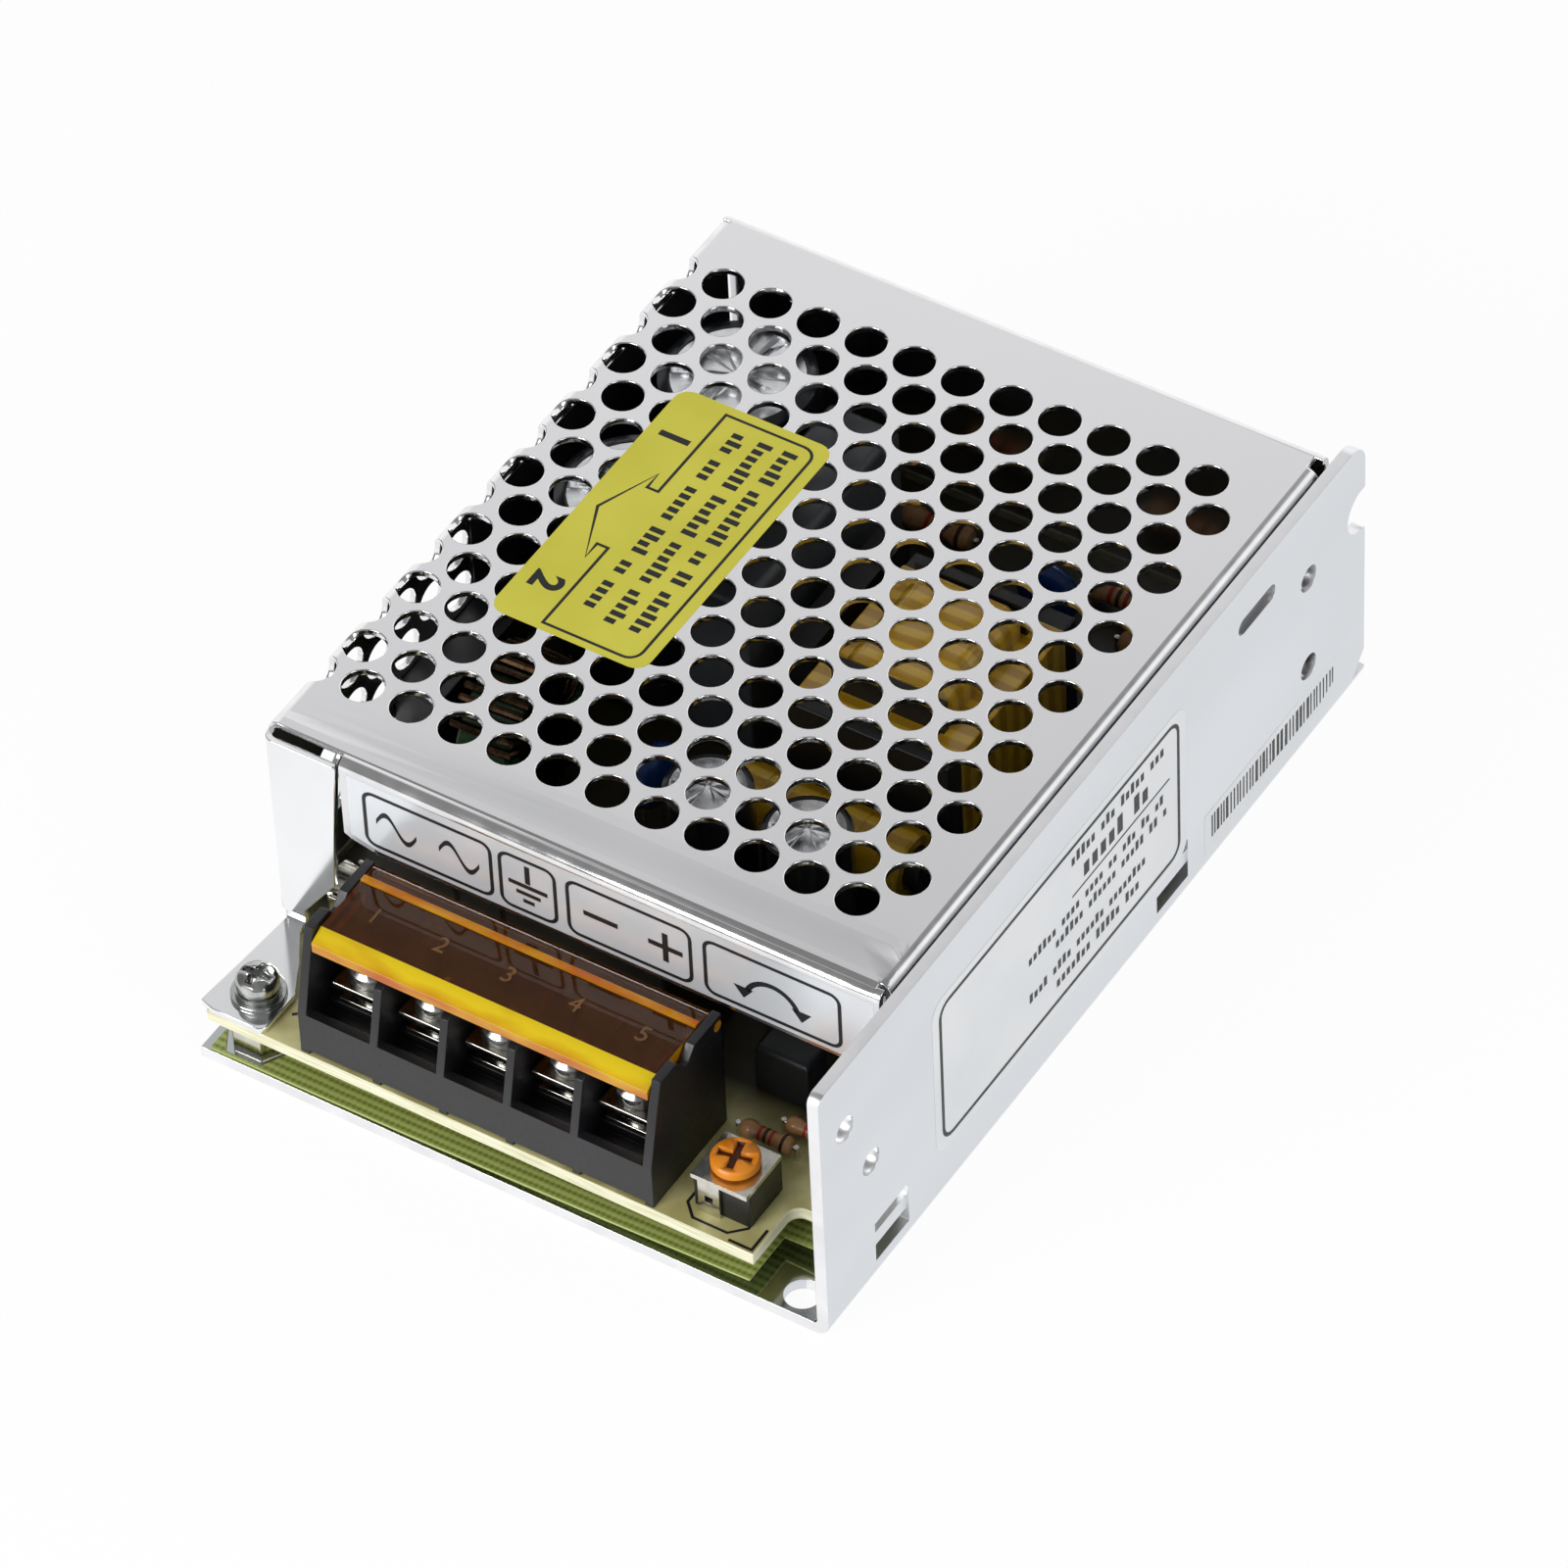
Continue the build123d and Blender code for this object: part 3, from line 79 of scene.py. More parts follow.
def shader(name, colour, roughness, metallic=0.0, ior=None, **more):
    """A principled material with its plain numbers on its own sockets."""
    made = bpy.data.materials.new(name)
    made.use_nodes = True
    tree = made.node_tree
    surface = tree.nodes["Principled BSDF"]
    surface.inputs["Base Color"].default_value = linear(colour)
    surface.inputs["Metallic"].default_value = metallic
    surface.inputs["Roughness"].default_value = roughness
    if ior:
        surface.inputs["IOR"].default_value = ior
    for key, value in more.items():
        surface.inputs[key.replace("_", " ")].default_value = value
    return made, tree, surface


def place(tree, stretch=(1, 1, 1)):
    """Object coordinates in metres, stretched where a pattern has a grain."""
    where = add(tree, "ShaderNodeTexCoord")
    return add(tree, "ShaderNodeMapping", Vector=where.outputs["Object"], Scale=stretch).outputs["Vector"]


def blotch(tree, size_mm, stretch=(1, 1, 1)):
    """Soft noise with patches about size_mm across."""
    return add(tree, "ShaderNodeTexNoise", Vector=place(tree, stretch), Scale=1 / (size_mm * MM),
               Detail=2.0).outputs["Fac"]


def wave_bands(tree, direction, size_mm, bend):
    """Regular bands, a little bent, that follow each other along X or Y."""
    return add(tree, "ShaderNodeTexWave", {"bands_direction": direction}, Vector=place(tree),
               Scale=1 / (size_mm * MM), Distortion=bend).outputs["Fac"]


def vary_colour(tree, surface, fac, dark, light, low=0.3, high=0.7):
    ramp = add(tree, "ShaderNodeValToRGB", Fac=fac)
    for element, position, colour in zip(ramp.color_ramp.elements, (low, high), (dark, light)):
        element.position = position
        element.color = linear(colour)
    tree.links.new(ramp.outputs["Color"], surface.inputs["Base Color"])


def vary_roughness(tree, surface, fac, low, high):
    spread = add(tree, "ShaderNodeMapRange", Value=fac, From_Min=0.3, From_Max=0.7, To_Min=low, To_Max=high)
    tree.links.new(spread.outputs["Result"], surface.inputs["Roughness"])


def raise_bump(tree, surface, height, depth_mm, strength):
    bump = add(tree, "ShaderNodeBump", Height=height, Distance=depth_mm * MM, Strength=strength)
    tree.links.new(bump.outputs["Normal"], surface.inputs["Normal"])


# Materials, each one started from what the real thing is

def metal(name, dark, light, smooth, dull, patch_mm, stretch=(1, 1, 1)):
    """A bare metal: patches of haze make its reflections uneven, as handling and rolling do."""
    made, tree, surface = shader(name, light, smooth, 1.0)
    haze = blotch(tree, patch_mm, stretch)
    vary_colour(tree, surface, haze, dark, light)
    vary_roughness(tree, surface, haze, smooth, dull)
    return made


def plastic(name, dark, light, roughness, skin_mm=0.5, depth_mm=0.008):
    """A moulded or dipped plastic: even colour under a fine skin that breaks its gloss up a little."""
    made, tree, surface = shader(name, light, roughness, ior=1.5)
    skin = blotch(tree, skin_mm)
    vary_colour(tree, surface, blotch(tree, 7), dark, light)
    vary_roughness(tree, surface, skin, roughness - 0.05, roughness + 0.07)
    raise_bump(tree, surface, skin, depth_mm, 0.5)
    return made


def ink(name, colour):
    """Screen ink: flat, with a gloss that is a little uneven."""
    made, tree, surface = shader(name, colour, 0.45, ior=1.45)
    vary_roughness(tree, surface, blotch(tree, 0.4), 0.38, 0.52)
    return made


def lacquered_laminate():
    """Board under thin lacquer: khaki and mottled by its tracks, and painted dark brown inside the case as
    painted shade.
    """
    made, tree, surface = shader("lacquered_laminate", "#B5AD72", 0.36, ior=1.5)
    tracks = add(tree, "ShaderNodeTexVoronoi", {"distance": "CHEBYCHEV"}, Vector=place(tree),
                 Scale=1 / (5.5 * MM))
    both = maths(tree, "MULTIPLY", tracks.outputs["Distance"], blotch(tree, 3.0))
    vary_colour(tree, surface, both, "#A9A168", "#CEC78E", 0.1, 0.36)
    unshaded_colour = surface.inputs["Base Color"].links[0].from_socket
    # Painted shade: from the fascia inward the board's colour is mixed to dark brown, standing in for the
    # shade under the cover.
    along = add(tree, "ShaderNodeSeparateXYZ", Vector=place(tree))
    inside = add(tree, "ShaderNodeMapRange", Value=along.outputs["Y"], From_Min=-40 * MM, From_Max=-35 * MM)
    painted_shade = add(tree, "ShaderNodeMix", {"data_type": "RGBA"}, i0=inside.outputs["Result"], i6=unshaded_colour,
                  i7=linear("#2E2B19"))
    tree.links.new(painted_shade.outputs[2], surface.inputs["Base Color"])
    raise_bump(tree, surface, both, 0.03, 0.3)
    return made


def sawn_laminate():
    """Sawn board edge: cream, with the layers showing as fine lines along it."""
    made, tree, surface = shader("sawn_laminate", "#E9E6C6", 0.6, ior=1.5)
    layers = blotch(tree, 0.3, (0.05, 0.05, 1))
    vary_colour(tree, surface, layers, "#CFCDA6", "#F4F1D8")
    raise_bump(tree, surface, layers, 0.03, 0.4)
    return made


def woven_insulator():
    """Green glass cloth sheet: the cords run along X about 1 mm apart and catch the light as pale lines."""
    made, tree, surface = shader("woven_green_insulator", "#8B9950", 0.4, ior=1.5)
    cords = wave_bands(tree, "Y", 3.2, 0.4)
    threads = wave_bands(tree, "X", 2.2, 0.5)
    both = maths(tree, "ADD", cords, maths(tree, "MULTIPLY", threads, 0.35))
    vary_colour(tree, surface, both, "#6F7D33", "#A7B268", 0.1, 1.0)
    raise_bump(tree, surface, both, 0.05, 0.5)
    return made


def amber_panel():
    """Clear amber moulding, smooth and thin: the dark bays under it show through, under a mirror gloss."""
    made, tree, surface = shader("moulded_amber_polycarbonate", "#A8600F", 0.04, ior=1.5,
                                 Transmission_Weight=0.93, Specular_IOR_Level=0.3)
    skin = blotch(tree, 4.0)
    vary_colour(tree, surface, skin, "#A05A0C", "#B06A14")
    raise_bump(tree, surface, skin, 0.01, 0.2)
    return made


def amber_edge():
    """The same amber seen along its thickness, as a lighter copy of its colour with painted light: a painted
    glow, yellow on top and orange below.
    """
    made, tree, surface = shader("amber_edge_painted_glow", "#F2A70E", 0.1, ior=1.5,
                                 Transmission_Weight=0.25)
    low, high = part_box("terminal_cover")
    along = add(tree, "ShaderNodeSeparateXYZ", Vector=place(tree))
    rise = add(tree, "ShaderNodeMapRange", Value=along.outputs["Z"], From_Min=high.z - 1.5 * MM,
               From_Max=high.z - 0.6 * MM, To_Max=0.6)
    lip = add(tree, "ShaderNodeMapRange", Value=along.outputs["Y"], From_Min=low.y + 2.4 * MM,
              From_Max=low.y + 2.0 * MM)
    # Painted glow: the colour is lifted to yellow near the top of the front lip.
    glow = maths(tree, "MULTIPLY", rise.outputs["Result"], lip.outputs["Result"])
    both = maths(tree, "MULTIPLY_ADD", blotch(tree, 2.6, (0.35, 1, 1)), 0.9, glow)
    vary_colour(tree, surface, both, "#C66204", "#FFE01C", 0.3, 1.0)
    return made


def wound_tape():
    """Yellow polyester tape in layers: glossy, with the edge of each turn as a fine line."""
    made, tree, surface = shader("wound_yellow_tape", "#C79A18", 0.24, ior=1.6, Coat_Weight=0.25)
    turns = wave_bands(tree, "Y", 7.7, 1.4)
    vary_colour(tree, surface, turns, "#B58A10", "#D8AE30")
    raise_bump(tree, surface, turns, 0.04, 0.3)
    return made


def yellow_film():
    """Printed film label: flat olive yellow with a soft sheen and slight waves from the holes under it."""
    made, tree, surface = shader("printed_yellow_film", "#CDC63E", 0.4, ior=1.5)
    vary_colour(tree, surface, blotch(tree, 9), "#D0C93C", "#D9D248")
    raise_bump(tree, surface, blotch(tree, 5.0), 0.05, 0.25)
    return made


def silver_film(name, dark, light, roughness):
    """Silver-coated film: paler and duller than bare sheet, part mirror and part white."""
    made, tree, surface = shader(name, light, roughness, 0.4)
    haze = blotch(tree, 12)
    vary_colour(tree, surface, haze, dark, light)
    vary_roughness(tree, surface, haze, roughness - 0.04, roughness + 0.04)
    return made


def clear_glass():
    """Drawn glass tube: clear, with a very faint ripple along it."""
    made, tree, surface = shader("drawn_clear_glass", "#F2F6F6", 0.03, ior=1.5, Transmission_Weight=0.95)
    vary_roughness(tree, surface, blotch(tree, 2.0), 0.02, 0.06)
    return made


def green_lens():
    """Tinted epoxy lens: light soaks in, so it looks soft and milky."""
    made, tree, surface = shader("cast_green_epoxy", "#79B53A", 0.2, ior=1.5, Transmission_Weight=0.35)
    vary_colour(tree, surface, blotch(tree, 1.5), "#6AA62E", "#8CC650")
    return made


ROLLED_WALL = metal("rolled_aluminium_wall", "#D3D6DA", "#DDE0E4", 0.26, 0.34, 18, (1, 0.3, 1))
POLISHED_BASE = metal("bright_rolled_aluminium", "#C6CBCC", "#D8DCDC", 0.06, 0.14, 14, (1, 0.3, 1))
SHEARED_EDGE = metal("sheared_aluminium_edge", "#ECECEE", "#F8F8FA", 0.3, 0.4, 4)
SATIN_COVER = metal("satin_aluminium", "#E2E2E4", "#EAEAEC", 0.17, 0.22, 24)
PUNCHED_RIM = metal("punched_aluminium_rim", "#E6E6E7", "#F6F6F6", 0.1, 0.18, 3)
BRIGHT_FLAP = metal("mirror_rolled_aluminium", "#EEEFF1", "#F7F8F9", 0.08, 0.14, 12)
TINNED = metal("tinned_brass", "#C6C2B8", "#E6E3DA", 0.12, 0.24, 1.5)
ZINC = metal("zinc_plated_steel", "#A9AAA8", "#D2D4D2", 0.14, 0.28, 1.5)
NICKEL = metal("nickel_plated_brass", "#C4C0B4", "#DEDAD0", 0.1, 0.2, 1.5)
CAN_TOP = metal("drawn_aluminium", "#BFC1C4", "#E4E6E8", 0.14, 0.24, 2.5)
SPRING = metal("blued_spring_steel", "#6E7074", "#8A8C90", 0.24, 0.36, 2)
COPPER = metal("enamelled_copper_wire", "#2C1F17", "#54402F", 0.22, 0.32, 1)
BLACK_NYLON = plastic("moulded_black_nylon", "#121214", "#1A1A1E", 0.34)
AMBER_FIGURE = plastic("moulded_amber_figure", "#5E3C16", "#744C20", 0.3)
# The black sheet behind the left wall's holes is painted shade.
SHADE_LINER = plastic("black_shade_film", "#0C0C0D", "#131315", 0.5, 3)
PHENOLIC = plastic("moulded_black_phenolic", "#0F0F10", "#181819", 0.42)
FERRITE = plastic("pressed_ferrite", "#131416", "#1D1F22", 0.38, 0.3, 0.015)
BLACK_EPOXY = plastic("moulded_black_epoxy", "#0E0E0F", "#161618", 0.45, 0.3, 0.012)
GREY_BOX = plastic("moulded_grey_polyester", "#3E4145", "#4A4E52", 0.35)
BLACK_BOX = plastic("moulded_black_polyester", "#16181A", "#202326", 0.4)
GREEN_DIP = plastic("dipped_green_epoxy", "#1E3A22", "#2A4D2C", 0.3, 1.2, 0.04)
BLUE_DIP = plastic("dipped_blue_epoxy", "#0B2A5E", "#133A7C", 0.22, 1.6, 0.05)
ORANGE_DIAL = plastic("moulded_orange_polyamide", "#DB7A10", "#EF9420", 0.34, 0.4)
DIAL_RECESS = plastic("darker_orange_recess", "#3E1600", "#542408", 0.5, 0.4)
RED_SLIDER = plastic("moulded_red_polyamide", "#A81A12", "#C0281C", 0.36, 0.4)
BLACK_SLEEVE = plastic("shrunk_black_sleeve", "#121316", "#1D1F24", 0.2, 2.5, 0.03)
RESISTOR_COAT = plastic("lacquered_resistor", "#9A7048", "#B78A5C", 0.3, 0.8, 0.02)
SILICONE = plastic("cast_grey_silicone", "#8C8C88", "#A0A09C", 0.65, 0.4)
BLACK_INK = ink("black_screen_ink", "#151517")
RED_BAND = ink("red_lacquer_band", "#9C2A1C")
BROWN_BAND = ink("brown_lacquer_band", "#3C1E10")
LAMINATE = lacquered_laminate()
SAWN_EDGE = sawn_laminate()
INSULATOR = woven_insulator()
AMBER = amber_panel()
AMBER_EDGE_GLOW = amber_edge()
TAPE = wound_tape()
YELLOW_LABEL = yellow_film()
FASCIA_FILM = silver_film("silver_fascia_film", "#DADEE3", "#E6E9ED", 0.22)
RATING_FILM = silver_film("silver_rating_film", "#DCDFE2", "#E6E8EA", 0.34)
GLASS = clear_glass()
GREEN_LENS = green_lens()


# Making pieces

def piece(name, bm, body, materials, sharp=38, sheet=False):
    """Turns a bmesh in metres into a piece on a body. Wide faces look flat and narrow edges round.
    On a sheet, a face square to an axis is shaded flat, so that its holes don't bend its shine."""
    bmesh.ops.recalc_face_normals(bm, faces=bm.faces)
    mesh = bpy.data.meshes.new(name)
    bm.to_mesh(mesh)
    bm.free()
    made = bpy.data.objects.new(name, mesh)
    bpy.context.scene.collection.objects.link(made)
    for material in materials if isinstance(materials, list) else [materials]:
        mesh.materials.append(material)
    mesh.set_sharp_from_angle(angle=math.radians(sharp))
    square = [sheet and max(abs(n) for n in polygon.normal) > 0.99999 for polygon in mesh.polygons]
    mesh.polygons.foreach_set("use_smooth", [not flat for flat in square])
    if not sheet:
        weighted = made.modifiers.new("weighted_normals", "WEIGHTED_NORMAL")
        weighted.keep_sharp = True
    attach(made, body)
    return made


def bevel_sharp(bm, width_mm, segments=2, angle=35):
    """Rounds every edge that turns by more than angle."""
    edges = [e for e in bm.edges if len(e.link_faces) == 2 and e.calc_face_angle(0) > math.radians(angle)]
    bmesh.ops.bevel(bm, geom=edges, offset=width_mm * MM, offset_type="OFFSET", segments=segments,
                    profile=0.5, affect="EDGES", clamp_overlap=True, material=-1)


def node_bmesh(node):
    """A CAD node's surface with its triangles joined into flat faces."""
    bm = bmesh.new()
    bm.from_mesh(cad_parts[node].data)
    bmesh.ops.remove_doubles(bm, verts=bm.verts, dist=1e-6)
    bmesh.ops.dissolve_limit(bm, angle_limit=math.radians(1), verts=bm.verts, edges=bm.edges)
    return bm


def box_of(node):
    """A CAD node's low and high corners in millimetres."""
    low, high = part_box(node)
    return low / MM, high / MM


def solids_of(node):
    """The box of each separate solid in a CAD node, in millimetres: a list of (low, high)."""
    bm = node_bmesh(node)
    left = set(bm.verts)
    boxes = []
    while left:
        group = [left.pop()]
        for vert in group:
            near = [e.other_vert(vert) for e in vert.link_edges if e.other_vert(vert) in left]
            left.difference_update(near)
            group.extend(near)
        low = Vector([min(v.co[k] for v in group) / MM for k in range(3)])
        high = Vector([max(v.co[k] for v in group) / MM for k in range(3)])
        boxes.append((low, high))
    bm.free()
    return sorted(boxes, key=lambda box: tuple(box[0]))


def soften(node, body, materials, width_mm=0.15, segments=2, paint=None, reshape=None):
    """Stands for a CAD node, with rounded edges. paint gives a face its material's number."""
    bm = node_bmesh(node)
    if reshape:
        reshape(bm)
    bevel_sharp(bm, width_mm, segments)
    if paint:
        bm.normal_update()
        for face in bm.faces:
            face.material_index = paint(face)
    made = piece(node + "_body", bm, body, materials)
    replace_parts(made, node)
    return made


def add_box(bm, low, high, turn=0.0):
    """A box from its low and high corners in millimetres, turned about its middle."""
    size = [(b - a) * MM for a, b in zip(low, high)]
    middle = [(b + a) / 2 * MM for a, b in zip(low, high)]
    where = Matrix.Translation(middle) @ Matrix.Rotation(math.radians(turn), 4, "Z")
    bmesh.ops.create_cube(bm, size=1.0, matrix=where @ Matrix.Diagonal(size + [1]))


def join(bm, part):
    """Moves everything in part into bm."""
    mesh = bpy.data.meshes.new("part")
    part.to_mesh(mesh)
    part.free()
    bm.from_mesh(mesh)
    bpy.data.meshes.remove(mesh)


TURN = {"Z": Matrix.Identity(4), "X": Matrix.Rotation(math.radians(90), 4, "Y"),
        "Y": Matrix.Rotation(math.radians(-90), 4, "X")}


def add_turned(bm, profile, centre, axis="Z", steps=40):
    """A round shape spun from its outline, given as (radius, height) pairs in millimetres along an axis."""
    part = bmesh.new()
    line = [part.verts.new((r * MM, 0, z * MM)) for r, z in profile]
    edges = [part.edges.new(pair) for pair in zip(line, line[1:])]
    bmesh.ops.spin(part, geom=line + edges, cent=(0, 0, 0), axis=(0, 0, 1), angle=math.tau, steps=steps,
                   use_merge=True)
    bmesh.ops.remove_doubles(part, verts=part.verts, dist=1e-7)
    bmesh.ops.transform(part, matrix=Matrix.Translation(Vector(centre) * MM) @ TURN[axis], verts=part.verts)
    join(bm, part)


def turned(profile, centre, axis="Z", steps=40):
    bm = bmesh.new()
    add_turned(bm, profile, centre, axis, steps)
    return bm


def carve(made, low, high, turn=0.0):
    """Cuts a box, turned about its middle, out of a piece."""
    bm = bmesh.new()
    add_box(bm, low, high, turn)
    cutter_mesh = bpy.data.meshes.new("cutter")
    bm.to_mesh(cutter_mesh)
    bm.free()
    cutter = bpy.data.objects.new("cutter", cutter_mesh)
    bpy.context.scene.collection.objects.link(cutter)
    cut = made.modifiers.new("cut", "BOOLEAN")
    cut.object = cutter
    cut.solver = "EXACT"
    bpy.context.view_layer.update()
    result = bpy.data.meshes.new_from_object(made.evaluated_get(bpy.context.evaluated_depsgraph_get()))
    made.modifiers.remove(cut)
    bpy.data.objects.remove(cutter)
    bpy.data.meshes.remove(cutter_mesh)
    old = made.data
    made.data = result
    bpy.data.meshes.remove(old)
    made.data.set_sharp_from_angle(angle=math.radians(38))


def bmesh_of_curve(curve, matrix=None):
    """A curve's or a text's surface as a bmesh, moved to its place."""
    holder = bpy.data.objects.new("curve", curve)
    bpy.context.scene.collection.objects.link(holder)
    bpy.context.view_layer.update()
    mesh = bpy.data.meshes.new_from_object(holder.evaluated_get(bpy.context.evaluated_depsgraph_get()))
    bpy.data.objects.remove(holder)
    bm = bmesh.new()
    bm.from_mesh(mesh)
    bpy.data.meshes.remove(mesh)
    bmesh.ops.remove_doubles(bm, verts=bm.verts, dist=1e-7)
    if matrix:
        bmesh.ops.transform(bm, matrix=matrix, verts=bm.verts)
    return bm


def flat_plate(outlines, thickness, rim=0.0, matrix=None):
    """A flat plate from closed outlines in millimetres. Outlines inside another are holes."""
    curve = bpy.data.curves.new("outline", "CURVE")
    curve.dimensions = "2D"
    curve.fill_mode = "BOTH"
    curve.extrude = (thickness / 2 - rim) * MM
    curve.bevel_depth = rim * MM
    curve.bevel_resolution = 1
    curve.offset = -rim * MM
    for points in outlines:
        spline = curve.splines.new("POLY")
        spline.points.add(len(points) - 1)
        for point, (x, y) in zip(spline.points, points):
            point.co = (x * MM, y * MM, 0, 1)
        spline.use_cyclic_u = True
    return bmesh_of_curve(curve, matrix)


def circle(x, y, radius, count=28):
    turns = [math.tau * k / count for k in range(count)]
    return [(x + radius * math.cos(t), y + radius * math.sin(t)) for t in turns]


def rectangle(x_low, x_high, y_low, y_high, radius=0.0, count=5):
    """A rectangle's outline, with round corners where a radius is given."""
    if not radius:
        return [(x_low, y_low), (x_high, y_low), (x_high, y_high), (x_low, y_high)]
    points = []
    for cx, cy, start in ((x_high - radius, y_high - radius, 0), (x_low + radius, y_high - radius, 90),
                          (x_low + radius, y_low + radius, 180), (x_high - radius, y_low + radius, 270)):
        for k in range(count + 1):
            turn = math.radians(start + 90 * k / count)
            points.append((cx + radius * math.cos(turn), cy + radius * math.sin(turn)))
    return points


def frame_line(x_low, x_high, y_low, y_high, radius, width):
    """The two outlines of a rounded frame line."""
    inner = max(radius - width, 0.1)
    return [rectangle(x_low, x_high, y_low, y_high, radius),
            rectangle(x_low + width, x_high - width, y_low + width, y_high - width, inner)]


def line_loop(points, width):
    """The two outlines of a line drawn round a closed path, with mitred corners."""
    loops = []
    for way in (-1, 1):
        loop = []
        for before, here, after in zip(points[-1:] + points[:-1], points, points[1:] + points[:1]):
            first = (Vector(here) - Vector(before)).normalized()
            second = (Vector(after) - Vector(here)).normalized()
            normal = Vector((-first.y, first.x)) + Vector((-second.y, second.x))
            reach = min(2 / max(normal.length_squared, 0.3), 2.0)
            spot = Vector(here) + normal * way * width / 2 * reach
            loop.append(tuple(spot))
        loops.append(loop)
    return loops


def plane(origin, right, up):
    """The place of a flat plate whose X runs along right and Y along up; origin is in millimetres."""
    right, up = Vector(right), Vector(up)
    made = Matrix((right, up, right.cross(up))).transposed().to_4x4()
    made.translation = Vector(origin) * MM
    return made


INK_DEPTH = 0.014
WALL_FILM_DEPTH = 0.016


def printed(name, outlines, where, material, thickness=0.02):
    """Ink or film lying on a surface."""
    return piece(name, flat_plate(outlines, thickness, matrix=where), CASE, material)


def greeked_row(x, x_end, y, height, pitch):
    """Small upright bars in word-sized groups, standing where a row of small letters is."""
    bars = []
    left_in_word = random.randint(3, 7)
    while x + pitch <= x_end:
        if left_in_word == 0:
            left_in_word = random.randint(2, 8)
            x += pitch
            continue
        tall = random.choice((1.0, 0.72, 0.72))
        bars.append(rectangle(x, x + pitch * 0.62, y, y + height * tall))
        x += pitch
        left_in_word -= 1
    return bars


# The perforated cover, punched flat and then folded

SHEET = 0.8
BEND = 1.3
BEND_LENGTH = (BEND - SHEET / 2) * math.pi / 2
LABEL_ROOM = 0.06
COVER_TOP = 36 - LABEL_ROOM
FOLD_LOW = COVER_TOP - BEND
WALL_START = -37.7
LIP_START = 35.7
NEAR_START = -38.35
FAR_START = 50.0
TAB_BEND_Z = 8.9
NEAR_SWEEP = 6.8
NEAR_SAG = 0.15
HOLE_RADIUS = 2.33
PITCH = 6.06
ROW_STEP = 5.0237
FIRST_ROW = 41.2
SELECTOR_Y = -9.04
SELECTOR_Z = 18.0


def wall_x(z):
    """Where height z on the left wall lies in the flat sheet."""
    return WALL_START - BEND_LENGTH - (FOLD_LOW - z)


def fascia_y(z):
    """Where height z on the near side lies in the flat sheet."""
    return NEAR_START - BEND_LENGTH - (FOLD_LOW - z)


def flap_y(x):
    """Where the flap's line at x lies in the flat sheet."""
    return NEAR_START - BEND_LENGTH - (x - WALL_START)


def tab_x(y):
    """Where the tab's line at y lies in the flat sheet."""
    return wall_x(TAB_BEND_Z) - BEND_LENGTH - (-40.15 - y)


def cover_outline():
    """The flat sheet's edge: top, fascia, right lip, far flange, left wall, then flap and screw tab."""
    far_end = FAR_START + BEND_LENGTH + (FOLD_LOW - 1.8)
    lip_end = LIP_START + BEND_LENGTH + (FOLD_LOW - 31)
    flap_fold = flap_y(WALL_START) - 0.05
    top_and_fascia = [(-29.3, -38.15), (-29.3, fascia_y(25.4)), (-28.4, fascia_y(24.9)),
                      (-25.1, fascia_y(24.2)), (36.6, fascia_y(24.2)), (36.6, -38.45), (35.6, -38.45),
                      (35.6, -37.9)]
    lip = [(lip_end, -37.9), (lip_end, 48.3), (35.6, 48.3), (35.6, 49.95)]
    far_flange = [(36.6, 49.95), (36.6, far_end), (-38.6, far_end), (-38.6, 49.95)]
    wall = [(-37.6, 49.95), (-37.6, 49.75), (wall_x(1.8), 49.75), (wall_x(1.8), NEAR_START),
            (wall_x(8.9), NEAR_START)]
    tab = [(wall_x(8.9), flap_fold), (tab_x(-54.4), flap_fold), (tab_x(-54.95), flap_fold - 0.6),
           (tab_x(-54.95), flap_y(-31.2)), (tab_x(-54.4), flap_y(-30.6)), (tab_x(-49), flap_y(-30.5)),
           (tab_x(-45), flap_y(-32.6)), (tab_x(-41.5), flap_y(-34.9)), (tab_x(-40.6), flap_y(-35.3))]
    flap = [(wall_x(10.0), flap_y(-35.4)), (wall_x(16), flap_y(-31.2)), (wall_x(34.3), flap_y(-29.75)),
            (wall_x(34.6), flap_y(-30.1)), (wall_x(34.6), -38.15)]
    return top_and_fascia + lip + far_flange + wall + tab + flap


def cover_holes():
    """The hole field: rows half a pitch apart, running on over the bend and down the left wall."""
    holes = []
    for row in range(15):
        y = FIRST_ROW - ROW_STEP * row
        odd = row % 2
        for column in range(15 + odd):
            x = 27.51 + PITCH / 2 * odd - PITCH * column
            z = FOLD_LOW - (WALL_START - BEND_LENGTH - x)
            on_wall = x < WALL_START - BEND_LENGTH
            if on_wall and abs(y - SELECTOR_Y) < 8 and abs(z - SELECTOR_Z) < 6:
                continue
            holes.append(circle(x, y, HOLE_RADIUS))
    holes.append(rectangle(wall_x(15.2), wall_x(20.8), SELECTOR_Y - 6, SELECTOR_Y + 6))
    holes.append(circle(tab_x(-50.6), flap_y(-34.0), 1.7))
    return holes


def fold(verts, axis, direction, start, down=True):
    """Bends what lies beyond start, along axis 0 or 1, as a folding press does."""
    top = COVER_TOP * MM
    inner = BEND - SHEET
    length = (inner + SHEET / 2) * MM * math.pi / 2
    sense = 1 if down else -1
    outer = (inner + SHEET if down else inner) * MM
    for vert in verts:
        beyond = (vert.co[axis] - start * MM) * direction
        if beyond <= 0:
            continue
        turn = min(beyond / length, 1) * math.pi / 2
        rest = max(beyond - length, 0)
        reach = outer - sense * (top - vert.co.z)
        vert.co[axis] = start * MM + direction * reach * math.sin(turn)
        vert.co.z = top + sense * (reach * math.cos(turn) - outer - rest)


